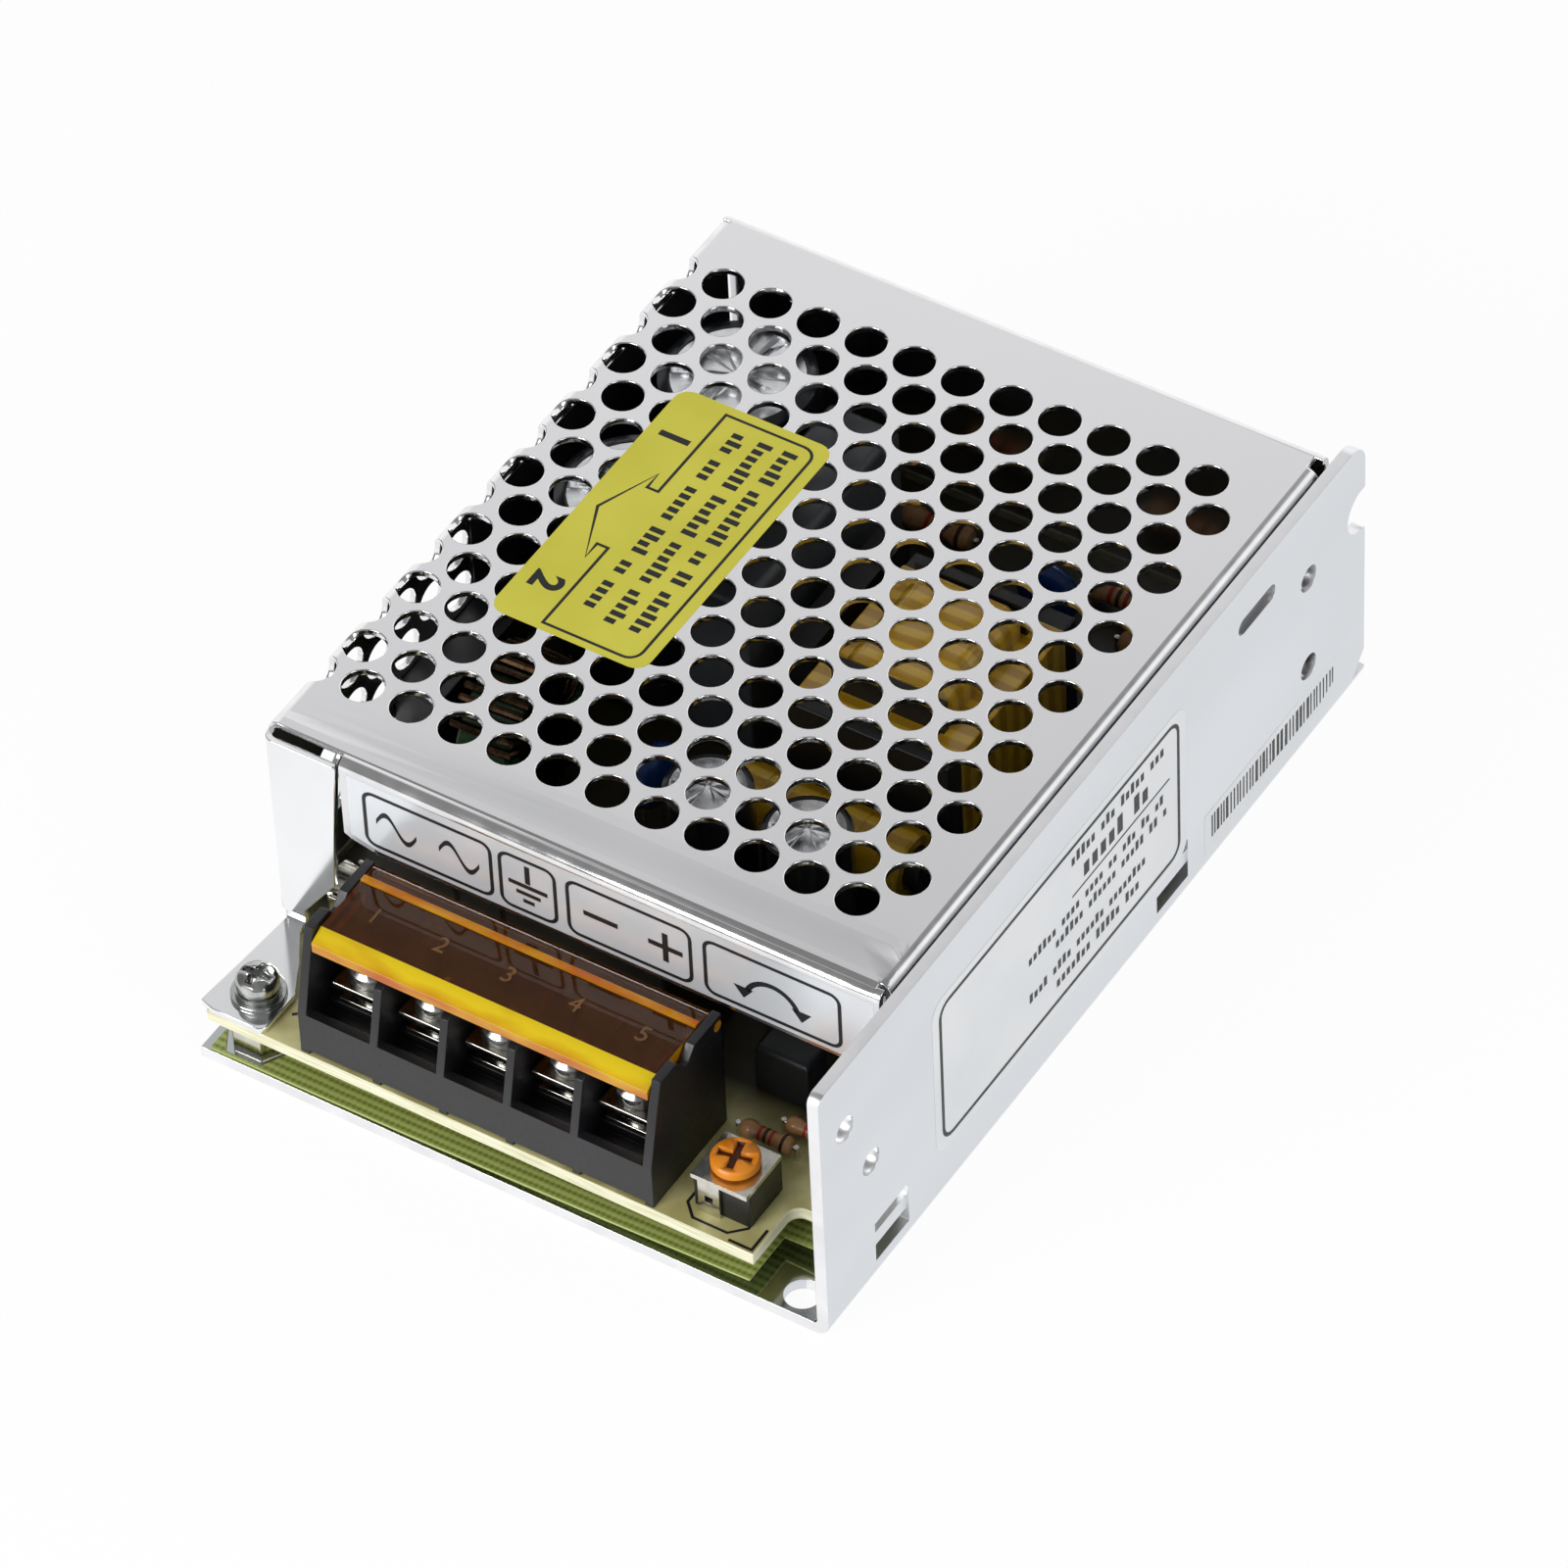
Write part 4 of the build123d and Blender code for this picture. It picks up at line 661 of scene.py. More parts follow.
def make_cover():
    bm = flat_plate([cover_outline()] + cover_holes(), SHEET, rim=0.1,
                    matrix=Matrix.Translation((0, 0, (COVER_TOP - SHEET / 2) * MM)))
    zones = [(0, WALL_START - BEND_LENGTH, WALL_START), (0, LIP_START, LIP_START + BEND_LENGTH),
             (0, wall_x(TAB_BEND_Z) - BEND_LENGTH, wall_x(TAB_BEND_Z)),
             (1, NEAR_START - BEND_LENGTH, NEAR_START), (1, FAR_START, FAR_START + BEND_LENGTH)]
    steps = 8
    lines = [(axis, low + (high - low) * step / steps)
             for axis, low, high in zones for step in range(steps + 1)]
    lines += [(1, NEAR_START + NEAR_SWEEP * step / 5) for step in range(1, 6)]
    for axis, spot in lines:
        normal = Vector((1, 0, 0)) if axis == 0 else Vector((0, 1, 0))
        bmesh.ops.bisect_plane(bm, geom=bm.verts[:] + bm.edges[:] + bm.faces[:], dist=1e-7, plane_no=normal,
                               plane_co=normal * spot * MM)
    flat = {v: (v.co.x / MM, v.co.y / MM) for v in bm.verts}
    tab = [v for v, (x, y) in flat.items() if x < wall_x(TAB_BEND_Z) and y < -39.5]
    flap = [v for v, (x, y) in flat.items() if x < -39.0 and y < NEAR_START]
    wall = [v for v, (x, y) in flat.items() if x < WALL_START and y < 49.8]
    fascia = [v for v, (x, y) in flat.items() if x > -29.5 and y < NEAR_START]
    far_flange = [v for v, (x, y) in flat.items() if y > FAR_START and -38.9 < x < 37]
    lip = [v for v, (x, y) in flat.items() if x > LIP_START and -38.0 < y < 48.5]
    tab_edge = [v for v in tab if flat[v][1] > flap_y(WALL_START) - 0.25 and flat[v][0] < tab_x(-41)]
    fold(tab, 0, -1, wall_x(TAB_BEND_Z), down=False)
    fold(flap, 1, -1, NEAR_START)
    fold(wall, 0, -1, WALL_START)
    fold(fascia, 1, -1, NEAR_START)
    fold(far_flange, 1, 1, FAR_START)
    fold(lip, 0, 1, LIP_START)
    for vert in tab_edge:
        vert.co.x -= 1.1 * MM
    for vert, (x, y) in flat.items():
        if WALL_START + 0.1 < x < LIP_START - 0.1:
            near = min(max(NEAR_START + NEAR_SWEEP - y, 0), NEAR_SWEEP)
            vert.co.z -= NEAR_SAG * (near / NEAR_SWEEP) ** 2 * min((x - WALL_START) / 24, 1) * MM
    bm.normal_update()
    for face in bm.faces:
        middle = face.calc_center_median() / MM
        if middle.y < -38.9 and middle.x < -29.5:
            face.material_index = 2
        elif max(abs(n) for n in face.normal) < 0.97:
            face.material_index = 1
    made = piece("perforated_cover_sheet", bm, CASE,
                 [SATIN_COVER, PUNCHED_RIM, BRIGHT_FLAP], sharp=50, sheet=True)
    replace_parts(made, "perforated_cover")


def line_wall():
    """A black sheet inside the left wall, past the selector, standing in as painted shade: the holes there
    look black, not clear.
    """
    bm = bmesh.new()
    inside = WALL_START - BEND + SHEET
    add_box(bm, (inside + 0.1, -1.5, 9), (inside + 0.25, 49, 34))
    piece("wall_shade_liner", bm, CASE, [SHADE_LINER])


make_cover()
line_wall()


# Case, board and insulating sheet

WALL_FACE = 39 - LABEL_ROOM


def chassis_paint(face):
    """The inside of the base is bright, sheared edges are pale, and the rest is satin."""
    middle = face.calc_center_median() / MM
    if face.normal.z > 0.9 and middle.z < 2:
        return 1
    thin = min(e.calc_length() for e in face.edges) < 1.6 * MM
    return 2 if thin and abs(face.normal.x) < 0.3 else 0


def chassis_shape(bm):
    """Leaves room on the outside of the wall for its labels."""
    for vert in bm.verts:
        if vert.co.x > 38.99 * MM and vert.co.z > 2.5 * MM:
            vert.co.x -= LABEL_ROOM * MM


soften("chassis", CASE, [ROLLED_WALL, POLISHED_BASE, SHEARED_EDGE], 0.12, 2, chassis_paint,
       chassis_shape)
soften("circuit_board", CASE, [LAMINATE, SAWN_EDGE], 0.06, 1,
       lambda face: 0 if abs(face.normal.z) > 0.8 else 1)
soften("insulating_sheet", CASE, [INSULATOR], 0.03, 1)
soften("board_standoffs", CASE, [NICKEL], 0.2)


# Screws and washers

def screw(name, head, shank_radius, shank_low, body, slot_width=0.75):
    """A pan-head screw with a cross recess and a thread. head is x, y, low, high and radius."""
    x, y, low, high, radius = head
    profile = [(0, high), (radius * 0.55, high - 0.06), (radius * 0.85, high - 0.26), (radius, high - 0.8),
               (radius, low + 0.12), (radius - 0.12, low)]
    z = low
    pitch = 0.5
    while z - pitch > shank_low:
        profile += [(shank_radius, z - 0.05), (shank_radius, z - 0.15), (shank_radius - 0.2, z - 0.3)]
        z -= pitch
    profile += [(shank_radius - 0.2, shank_low), (0, shank_low)]
    made = piece(name, turned(profile, (x, y, 0), steps=32), body, [ZINC])
    span = radius * 0.7
    for long_x, long_y in ((span, slot_width / 2), (slot_width / 2, span)):
        carve(made, (x - long_x, y - long_y, high - 0.9), (x + long_x, y + long_y, high + 1))
    return made


POLES = []
for index in range(1, 6):
    node = f"terminal_screw_{index}"
    low, high = box_of(node)
    POLES.append((low.x + high.x) / 2)
    head = ((low.x + high.x) / 2, (low.y + high.y) / 2, high.z - 2.2, high.z, (high.x - low.x) / 2)
    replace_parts(screw(node + "_body", head, 1.66, low.z, f"wire_clamp_{index}"), node)
    soften(f"terminal_clamp_{index}", f"wire_clamp_{index}", [TINNED], 0.14)

low, high = box_of("tab_screw")
TAB_SCREW = ((low.x + high.x) / 2, (low.y + high.y) / 2)
head = (*TAB_SCREW, high.z - 1.8, high.z, 2.38)
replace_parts(screw("tab_screw_body", head, 1.46, low.z, CASE), "tab_screw")
for index, (low, high) in enumerate(solids_of("board_screws")):
    head = ((low.x + high.x) / 2, (low.y + high.y) / 2, high.z - 1.8, high.z, 2.66)
    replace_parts(screw(f"board_screw_{index}_body", head, 1.46, low.z, CASE), "board_screws")


def make_washers():
    x, y = TAB_SCREW
    low, high = box_of("flat_washer")
    ring = [(1.75, low.z), (2.98, low.z), (3.05, low.z + 0.08), (3.05, high.z - 0.08), (2.98, high.z),
            (1.75, high.z), (1.75, low.z)]
    bm = turned(ring, (x, y, 0))
    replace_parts(piece("flat_washer_body", bm, CASE, [ZINC]), "flat_washer")
    low, high = box_of("spring_washer")
    thickness = high.z - low.z - 0.18
    bm = bmesh.new()
    section = ((1.75, low.z), (2.55, low.z), (2.55, low.z + thickness), (1.75, low.z + thickness))
    start = bm.faces.new([bm.verts.new((r * MM, 0, z * MM)) for r, z in section])
    steps = 34
    bmesh.ops.spin(bm, geom=[start], cent=(0, 0, 0), axis=(0, 0, 1), dvec=(0, 0, 0.16 * MM / steps),
                   angle=math.radians(345), steps=steps)
    where = Matrix.Translation((x * MM, y * MM, 0)) @ Matrix.Rotation(math.radians(215), 4, "Z")
    bmesh.ops.transform(bm, matrix=where, verts=bm.verts)
    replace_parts(piece("spring_washer_body", bm, CASE, [ZINC]), "spring_washer")


make_washers()


# Terminals and their flip cover

soften("terminal_block", CASE, [BLACK_NYLON], 0.16)
soften("terminal_strips", CASE, [TINNED], 0.1)

LID_LOW, LID_HIGH = box_of("terminal_cover")
LID_TOP = LID_HIGH.z - 0.3


def lid_paint(face):
    """Ends, rib and front lip show the amber along its thickness, in its lighter copy with the painted glow.
    """
    middle = face.calc_center_median() / MM
    near_lip = middle.y < LID_LOW.y + 2.1
    end_face = abs(face.normal.x) > 0.7
    rib = middle.z > LID_TOP - 0.2 and -43.6 < middle.y < -42.4
    return 1 if near_lip or end_face or rib else 0


soften("terminal_cover", "flip_cover", [AMBER, AMBER_EDGE_GLOW], 0.16, 2, lid_paint)


def figures(name, text, size_mm, where, depth_mm, heavy_mm, material, body=CASE):
    """Plain figures in the built-in face, thickened by heavy_mm."""
    curve = bpy.data.curves.new("figures", "FONT")
    curve.body = text
    curve.size = size_mm * MM
    curve.align_x = "CENTER"
    curve.align_y = "CENTER"
    curve.extrude = depth_mm / 2 * MM
    curve.offset = heavy_mm * MM
    return piece(name, bmesh_of_curve(curve, where), body, material)


for index, x in enumerate(POLES, start=1):
    where = plane((x, -46.9, LID_TOP), (1, 0, 0), (0, 1, 0))
    figures(f"lid_figure_{index}", str(index), 3.0, where, 0.14, 0.0, AMBER_FIGURE,
            "flip_cover")


# Trimmer and selector

soften("trimmer_body", CASE, [BLACK_NYLON], 0.15)
soften("trimmer_plate", CASE, [TINNED], 0.1)


def make_dial():
    low, high = box_of("trimmer_dial")
    x, y, top, radius = (low.x + high.x) / 2, (low.y + high.y) / 2, high.z, (high.x - low.x) / 2
    rim = [(0, top), (1.0, top), (radius - 0.2, top - 0.08), (radius, top - 0.3), (radius, top - 1.1),
           (radius - 0.12, top - 1.28)]
    shaft = [(1.19, top - 1.3), (1.19, low.z), (0, low.z)]
    made = piece("trimmer_dial_body", turned(rim + shaft, (x, y, 0), steps=44), "trimmer",
                 [ORANGE_DIAL, DIAL_RECESS])
    for long_x, long_y in ((1.9, 0.45), (0.45, 1.9)):
        carve(made, (x - long_x, y - long_y, top - 0.55), (x + long_x, y + long_y, top + 1), 12)
    # The faces inside the cross recess take the darker orange-brown.
    for polygon in made.data.polygons:
        middle = polygon.center / MM
        inside = (middle.x - x) ** 2 + (middle.y - y) ** 2 < 2.1 ** 2
        if inside and top - 0.6 < middle.z < top - 0.15:
            polygon.material_index = 1
    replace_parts(made, "trimmer_dial")


make_dial()
soften("selector_housing", CASE, [BLACK_NYLON], 0.2)
soften("selector_slider", "selector", [RED_SLIDER], 0.2)


# Transformer, chokes and capacitors

soften("transformer_core", CASE, [FERRITE], 0.3)
soften("transformer_bobbin", CASE, [PHENOLIC], 0.2)
soften("transformer_winding", CASE, [TAPE], 0.7, 3)


def wrap_core():
    """A band of the same tape round the core, holding its halves together."""
    low, high = box_of("transformer_core")
    bm = bmesh.new()
    add_box(bm, (low.x - 0.12, low.y + 2.4, low.z + 1), (high.x + 0.12, high.y - 2.4, high.z + 0.12))
    bevel_sharp(bm, 0.3)
    piece("transformer_core_tape", bm, CASE, [TAPE])


wrap_core()


def add_can(sleeves, tops, low, high):
    """A can: sleeve shrunk over the rim, rolled groove at its foot and bare top."""
    x, y, radius = (low.x + high.x) / 2, (low.y + high.y) / 2, (high.y - low.y) / 2
    rim = max(radius * 0.16, 0.5)
    groove = low.z + 0.12 * (high.z - low.z)
    profile = [(radius - rim, high.z - 0.05), (radius - rim + 0.25, high.z), (radius - 0.05, high.z - 0.35),
               (radius, high.z - 0.9), (radius, groove + 0.6), (radius * 0.95, groove),
               (radius, groove - 0.6), (radius, low.z + 0.4), (radius - 0.4, low.z), (0, low.z)]
    add_turned(sleeves, profile, (x, y, 0))
    top = high.z - 0.12
    disc = [(0, top), (radius - rim, top), (radius - rim + 0.05, top - 0.2), (radius - rim, top - 0.8),
            (0, top - 0.8)]
    add_turned(tops, disc, (x, y, 0))
    return x, y, radius, top


for node in ("bulk_capacitor_far", "bulk_capacitor_near", "output_capacitor_left", "output_capacitor_right",
             "output_capacitor_small", "small_capacitors"):
    sleeves, tops = bmesh.new(), bmesh.new()
    cans = [add_can(sleeves, tops, low, high) for low, high in solids_of(node)]
    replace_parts(piece(node + "_sleeve", sleeves, CASE, [BLACK_SLEEVE]), node)
    top_piece = piece(node + "_top", tops, CASE, [CAN_TOP])
    for x, y, radius, top in cans if len(cans) == 1 else []:
        reach = radius * 0.62
        for turn in (20, 80, 140):
            carve(top_piece, (x - reach, y - 0.18, top - 0.25), (x + reach, y + 0.18, top + 1), turn)

soften("film_capacitor", CASE, [GREY_BOX], 0.35, 3)
soften("box_capacitor", CASE, [BLACK_BOX], 0.25, 2)
soften("choke_core", CASE, [GREEN_DIP], 0.5, 3)


def wind_choke():
    """Two coils of round wire, wound as helices round the ring core."""
    low, high = box_of("choke_core")
    middle = (low + high) / 2
    outer, inner, half = (high.z - low.z) / 2, 4.6, (high.x - low.x) / 2
    wire = 1.0
    turns, per_turn = 13, 16
    bm = bmesh.new()
    for start, stop in ((22, 158), (202, 338)):
        curve = bpy.data.curves.new("wire", "CURVE")
        curve.dimensions = "3D"
        curve.bevel_depth = wire / 2 * MM
        curve.bevel_resolution = 2
        curve.use_fill_caps = True
        spline = curve.splines.new("POLY")
        spline.points.add(turns * per_turn)
        for step, point in enumerate(spline.points):
            across = math.tau * step / per_turn
            around = math.radians(start + (stop - start) * step / (turns * per_turn) - 90)
            out = max(-1, min(1, 1.35 * math.cos(across)))
            aside = max(-1, min(1, 1.35 * math.sin(across)))
            radius = (outer + inner) / 2 + out * ((outer - inner) / 2 + wire / 2 + 0.04)
            spot = Vector((middle.x + aside * (half + wire / 2 + 0.04), middle.y + radius * math.sin(around),
                           middle.z + radius * math.cos(around)))
            point.co = (*(spot * MM), 1)
        join(bm, bmesh_of_curve(curve))
    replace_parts(piece("choke_coils", bm, CASE, [COPPER]), "choke_winding")


wind_choke()


def dipped_disc(node, axis, material):
    """A dipped disc, thick in the middle and round at the rim, on two tinned legs."""
    low, high = box_of(node)
    middle = (low + high) / 2
    along, aside = (high.x - low.x, high.y - low.y) if axis == "X" else (high.y - low.y, high.x - low.x)
    radius, half = aside / 2, along / 2
    z = high.z - radius
    rounding = ((0, 0.86), (0.5, 0.84), (0.8, 0.72), (0.95, 0.4), (1, 0), (0.95, -0.4), (0.8, -0.72),
                (0.5, -0.84), (0, -0.86))
    profile = [(radius * r, half * h) for r, h in rounding]
    bm = turned(profile, (middle.x, middle.y, z), axis, 32)
    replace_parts(piece(node + "_disc", bm, CASE, [material]), node)
    legs = bmesh.new()
    leg_top = z - radius * 0.5
    for way in (-0.6, 0.6):
        x = middle.x + (way * radius if axis == "Y" else 0)
        y = middle.y + (way * radius if axis == "X" else 0)
        add_turned(legs, [(0, leg_top), (0.32, leg_top), (0.32, low.z), (0, low.z)], (x, y, 0), steps=12)
    piece(node + "_legs", legs, CASE, [TINNED])


dipped_disc("disc_capacitor", "X", BLUE_DIP)
dipped_disc("safety_capacitor", "Y", BLUE_DIP)
dipped_disc("thermistor", "Y", GREEN_DIP)


def rod_choke():
    """Tape wound on the rod in bands, each with a fine step to the next."""
    low, high = box_of("output_choke_winding")
    radius, length, bands = (high.z - low.z) / 2, high.x - low.x, 8
    profile = [(2.55, 0), (radius - 0.3, 0), (radius, 0.35)]
    for band in range(1, bands):
        step = length * band / bands
        profile += [(radius, step - 0.15), (radius - 0.12, step), (radius, step + 0.15)]
    profile += [(radius, length - 0.35), (radius - 0.3, length), (2.55, length), (2.55, 0)]
    bm = turned(profile, (low.x, (low.y + high.y) / 2, (low.z + high.z) / 2), "X", 36)
    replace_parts(piece("output_choke_tape", bm, CASE, [TAPE]), "output_choke_winding")


rod_choke()
soften("output_choke_core", CASE, [FERRITE], 0.2)


# Fuse, power parts and small parts

def make_fuse():
    low, high = box_of("fuse_caps")
    length = high.x - low.x
    centre = (low.x, (low.y + high.y) / 2, (low.z + high.z) / 2)
    inside, outside, cap = 1.9, 2.35, 5.0
    tube = [(inside, cap - 0.4), (outside, cap - 0.4), (outside, length - cap + 0.4),
            (inside, length - cap + 0.4), (inside, cap - 0.4)]
    bm = turned(tube, centre, "X", 32)
    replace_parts(piece("fuse_tube_body", bm, CASE, [GLASS]), "fuse_tube")
    caps = bmesh.new()
    rim = [(0, 0), (2.3, 0), (2.55, 0.3), (2.55, cap - 0.2), (2.42, cap), (2.42, cap - 0.8), (0, cap - 0.8)]
    for start, way in ((0, 1), (length, -1)):
        add_turned(caps, [(r, start + way * h) for r, h in rim], centre, "X", 32)
    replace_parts(piece("fuse_caps_body", caps, CASE, [NICKEL]), "fuse_caps")
    wire = turned([(0, 4), (0.12, 4), (0.12, length - 4), (0, length - 4)], centre, "X", 8)
    piece("fuse_wire", wire, CASE, [TINNED])


make_fuse()
soften("fuse_clips", CASE, [TINNED], 0.12)
soften("bridge_rectifier", CASE, [BLACK_EPOXY, TINNED], 0.3, 2,
       lambda face: 1 if face.calc_center_median().z < 10.55 * MM else 0)


def power_part(node):
    low, high = box_of(node)

    def paint(face):
        """Legs and the tab at the back are tinned metal."""
        middle = face.calc_center_median() / MM
        return 1 if middle.z < low.z + 5.5 or middle.x > high.x - 1.25 else 0
    soften(node, CASE, [BLACK_EPOXY, TINNED], 0.15, 1, paint)


power_part("power_transistor")
power_part("output_diode")
soften("insulating_pads", CASE, [SILICONE], 0.05, 1)
soften("device_springs", CASE, [SPRING], 0.1)
soften("optocouplers", CASE, [BLACK_EPOXY], 0.25)
soften("control_chip", CASE, [BLACK_EPOXY], 0.25)


def chip_legs():
    """Bent flat legs, a tenth of an inch apart, along both sides of each chip."""
    bm = bmesh.new()
    pitch, width, reach = 2.54, 0.9, 0.6
    for node, count in (("control_chip", 4), ("optocouplers", 2)):
        for low, high in solids_of(node):
            for index in range(count):
                y = (low.y + high.y) / 2 + (index - (count - 1) / 2) * pitch
                for x in (low.x - reach, high.x):
                    add_box(bm, (x, y - width / 2, low.z), (x + reach, y + width / 2, low.z + 2))
    bevel_sharp(bm, 0.08)
    piece("chip_legs", bm, CASE, [TINNED])


chip_legs()


def make_resistors():
    """Lacquered bodies, wider over the end caps, with colour bands and tinned legs."""
    coat, red, brown, legs = bmesh.new(), bmesh.new(), bmesh.new(), bmesh.new()
    leg = 0.8
    shape = [(0, 1), (0.68, 0.97), (0.97, 0.82), (0.97, 0.55), (0.76, 0.4), (0.76, -0.4), (0.97, -0.55),
             (0.97, -0.82), (0.68, -0.97), (0, -1)]
    for low, high in solids_of("resistors"):
        half = (high.x - low.x) / 2 - leg
        radius = (high.y - low.y) / 2
        centre = ((low.x + high.x) / 2, (low.y + high.y) / 2, high.z - radius)
        add_turned(coat, [(radius * r, half * h * 0.98) for r, h in shape], centre, "X", 24)
        for spot, target in ((-0.22, red), (0.0, brown), (0.22, red), (0.68, brown)):
            out = radius * (0.76 if spot < 0.5 else 0.97) + 0.035
            band = [(out - 0.1, -1), (out, -1), (out, 1), (out - 0.1, 1)]
            add_turned(target, [(r, half * (spot + 0.055 * h)) for r, h in band], centre, "X", 24)
        for way in (-1, 1):
            ends = sorted((way * half * 0.96, way * (half + leg * 0.6)))
            add_turned(legs, [(0, ends[0]), (0.3, ends[0]), (0.3, ends[1]), (0, ends[1])], centre, "X", 10)
            top = centre[2] + 0.3
            post = [(0, top), (0.3, top), (0.3, low.z), (0, low.z)]
            add_turned(legs, post, (centre[0] + way * (half + leg * 0.5), centre[1], 0), steps=10)
    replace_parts(piece("resistor_coats", coat, CASE, [RESISTOR_COAT]), "resistors")
    piece("resistor_red_bands", red, CASE, [RED_BAND])
    piece("resistor_brown_bands", brown, CASE, [BROWN_BAND])
    piece("resistor_legs", legs, CASE, [TINNED])


make_resistors()


def make_lamp():
    low, high = box_of("indicator_lamp")
    flange = (high.x - low.x) / 2
    profile = [(0, high.z), (0.7, high.z - 0.15), (1.2, high.z - 0.6), (1.48, high.z - 1.4),
               (1.5, low.z + 1.0), (flange, low.z + 1.0), (flange, low.z + 0.1), (flange - 0.2, low.z),
               (0, low.z)]
    bm = turned(profile, ((low.x + high.x) / 2, (low.y + high.y) / 2, 0), steps=32)
    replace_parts(piece("indicator_lamp_body", bm, CASE, [GREEN_LENS]), "indicator_lamp")


make_lamp()


# Printing on the board, the cover's front and the labels

def board_marks():
    """Screen printing: an outline with cut corners round the trimmer, a corner mark and a short stroke."""
    top = plane((0, 0, 7.61), (1, 0, 0), (0, 1, 0))
    left, right, low, high, cut = 20.2, 27.6, -53.6, -44.6, 1.6
    corners = [(left + cut, low), (right - cut, low), (right, low + cut), (right, high - cut),
               (right - cut, high), (left + cut, high), (left, high - cut), (left, low + cut)]
    printed("board_trimmer_outline", line_loop(corners, 0.32), top, BLACK_INK)
    mark = [(26.6, -54.5), (29.6, -54.5), (29.6, -51.2), (29.25, -51.2), (29.25, -54.15), (26.6, -54.15)]
    stroke = [(-29.6, -51.0), (-27.2, -48.9), (-27.45, -48.6), (-29.85, -50.7)]
    printed("board_corner_marks", [mark, stroke], top, BLACK_INK)


board_marks()

FASCIA_FRAMES = [(-26.5, -10.4), (-9.7, -2.5), (-1.4, 14.0), (15.3, 32.0)]


def wave_sign(x, z, width, height, line):
    """An alternating current sign as one closed outline."""
    upper, lower = [], []
    for k in range(17):
        share = k / 16
        wave = math.sin(share * math.tau) * height / 2
        upper.append((x - width / 2 + width * share, z + wave + line / 2))
        lower.append((x - width / 2 + width * share, z + wave - line / 2))
    return upper + lower[::-1]


def turn_arrow(x, z, radius, line):
    """An arc with an arrow head at each end."""
    turns = [math.radians(a) for a in range(20, 161, 10)]
    outer, inner = ([(x + far * math.cos(t), z + far * math.sin(t)) for t in turns]
                    for far in (radius + line / 2, radius - line / 2))
    heads = []
    for way in (-1, 1):
        tip = (x + way * (radius + 0.3), z - 0.3)
        heads.append([tip, (tip[0] + 1.2, tip[1] + 1.6), (tip[0] - 1.2, tip[1] + 1.6)])
    return [outer + inner[::-1]], heads


def fascia_marks():
    """A silver film with rounded frames over the terminals, each with its plain sign."""
    film = plane((0, -39.65 - 0.008, 0), (1, 0, 0), (0, 0, 1))
    face = plane((0, -39.65 - 0.024, 0), (1, 0, 0), (0, 0, 1))
    edge = [(-28.3, 25.7), (-24.9, 24.75), (35.9, 24.75), (35.9, 34.45), (-28.3, 34.45)]
    printed("fascia_film", [edge], film, FASCIA_FILM, 0.012)
    for index, (low, high) in enumerate(FASCIA_FRAMES):
        outlines = frame_line(low, high, 25.3, 33.4, 1.4, 0.46)
        printed(f"fascia_frame_{index}", outlines, face, BLACK_INK, INK_DEPTH)
    z = 29.3
    waves = [wave_sign(x, z, 5.0, 3.0, 0.75) for x in (-22.4, -14.6)]
    earth = [rectangle(-6.42, -5.78, 29.75, 32.4), rectangle(-8.5, -3.7, 29.0, 29.6),
             rectangle(-7.6, -4.6, 27.9, 28.45), rectangle(-6.8, -5.4, 26.8, 27.35)]
    minus = [rectangle(0.7, 4.9, z - 0.35, z + 0.35)]
    plus = [(8.6, z - 0.35), (10.35, z - 0.35), (10.35, z - 2.1), (11.05, z - 2.1), (11.05, z - 0.35),
            (12.8, z - 0.35), (12.8, z + 0.35), (11.05, z + 0.35), (11.05, z + 2.1), (10.35, z + 2.1),
            (10.35, z + 0.35), (8.6, z + 0.35)]
    arc, heads = turn_arrow(23.6, 27.2, 3.2, 0.65)
    signs = {"waves": waves, "earth": earth, "minus": minus, "plus": [plus], "turn_arc": arc,
             "turn_head_left": heads[:1], "turn_head_right": heads[1:]}
    for name, outlines in signs.items():
        printed("fascia_" + name, outlines, face, BLACK_INK, INK_DEPTH)


fascia_marks()


def top_label():
    """A yellow film label: its frame runs into a block arrow to the selector, with 1 and 2 beside it."""
    film = plane((0, 0, COVER_TOP + 0.012), (1, 0, 0), (0, 1, 0))
    face = plane((0, 0, COVER_TOP + 0.032), (1, 0, 0), (0, 1, 0))
    printed("top_label_film", [rectangle(-28.2, -8.9, -12.9, 25.4, 1.8)], film, YELLOW_LABEL)
    left, right, low, high, radius = -21.9, -10.4, -11.9, 24.1, 1.6
    right_side = [(x, y) for x, y in rectangle(left, right, low, high, radius) if x > left + radius]
    shaft, barb, apex = -23.3, 2.3, (-26.3, 5.6)
    arrow = [(left, 10.6), (shaft, 10.6), (shaft, 10.6 + barb), apex, (shaft, 0.8 - barb), (shaft, 0.8),
             (left, 0.8)]
    far_half = [p for p in right_side if p[1] > 0]
    near_half = [p for p in right_side if p[1] <= 0]
    path = far_half + [(left, high)] + arrow + [(left, low)] + near_half
    printed("top_label_frame", line_loop(path, 0.34), face, BLACK_INK, INK_DEPTH)
    letters = []
    for x, start, end in ((-13.6, 22.6, -10.6), (-16.6, 22.4, -9.8), (-19.7, 22.2, -8.2)):
        for row in greeked_row(-start, -end, x, 1.75, 1.16):
            letters.append([(y, -u) for u, y in row])
    printed("top_label_rows", letters, face, BLACK_INK, INK_DEPTH)
    for name, text, y in (("far", "1", 18.4), ("near", "2", -6.6)):
        where = plane((-25.0, y, COVER_TOP + 0.032), (0, -1, 0), (1, 0, 0))
        figures("top_label_figure_" + name, text, 5.0, where, INK_DEPTH, 0.16, BLACK_INK)


top_label()


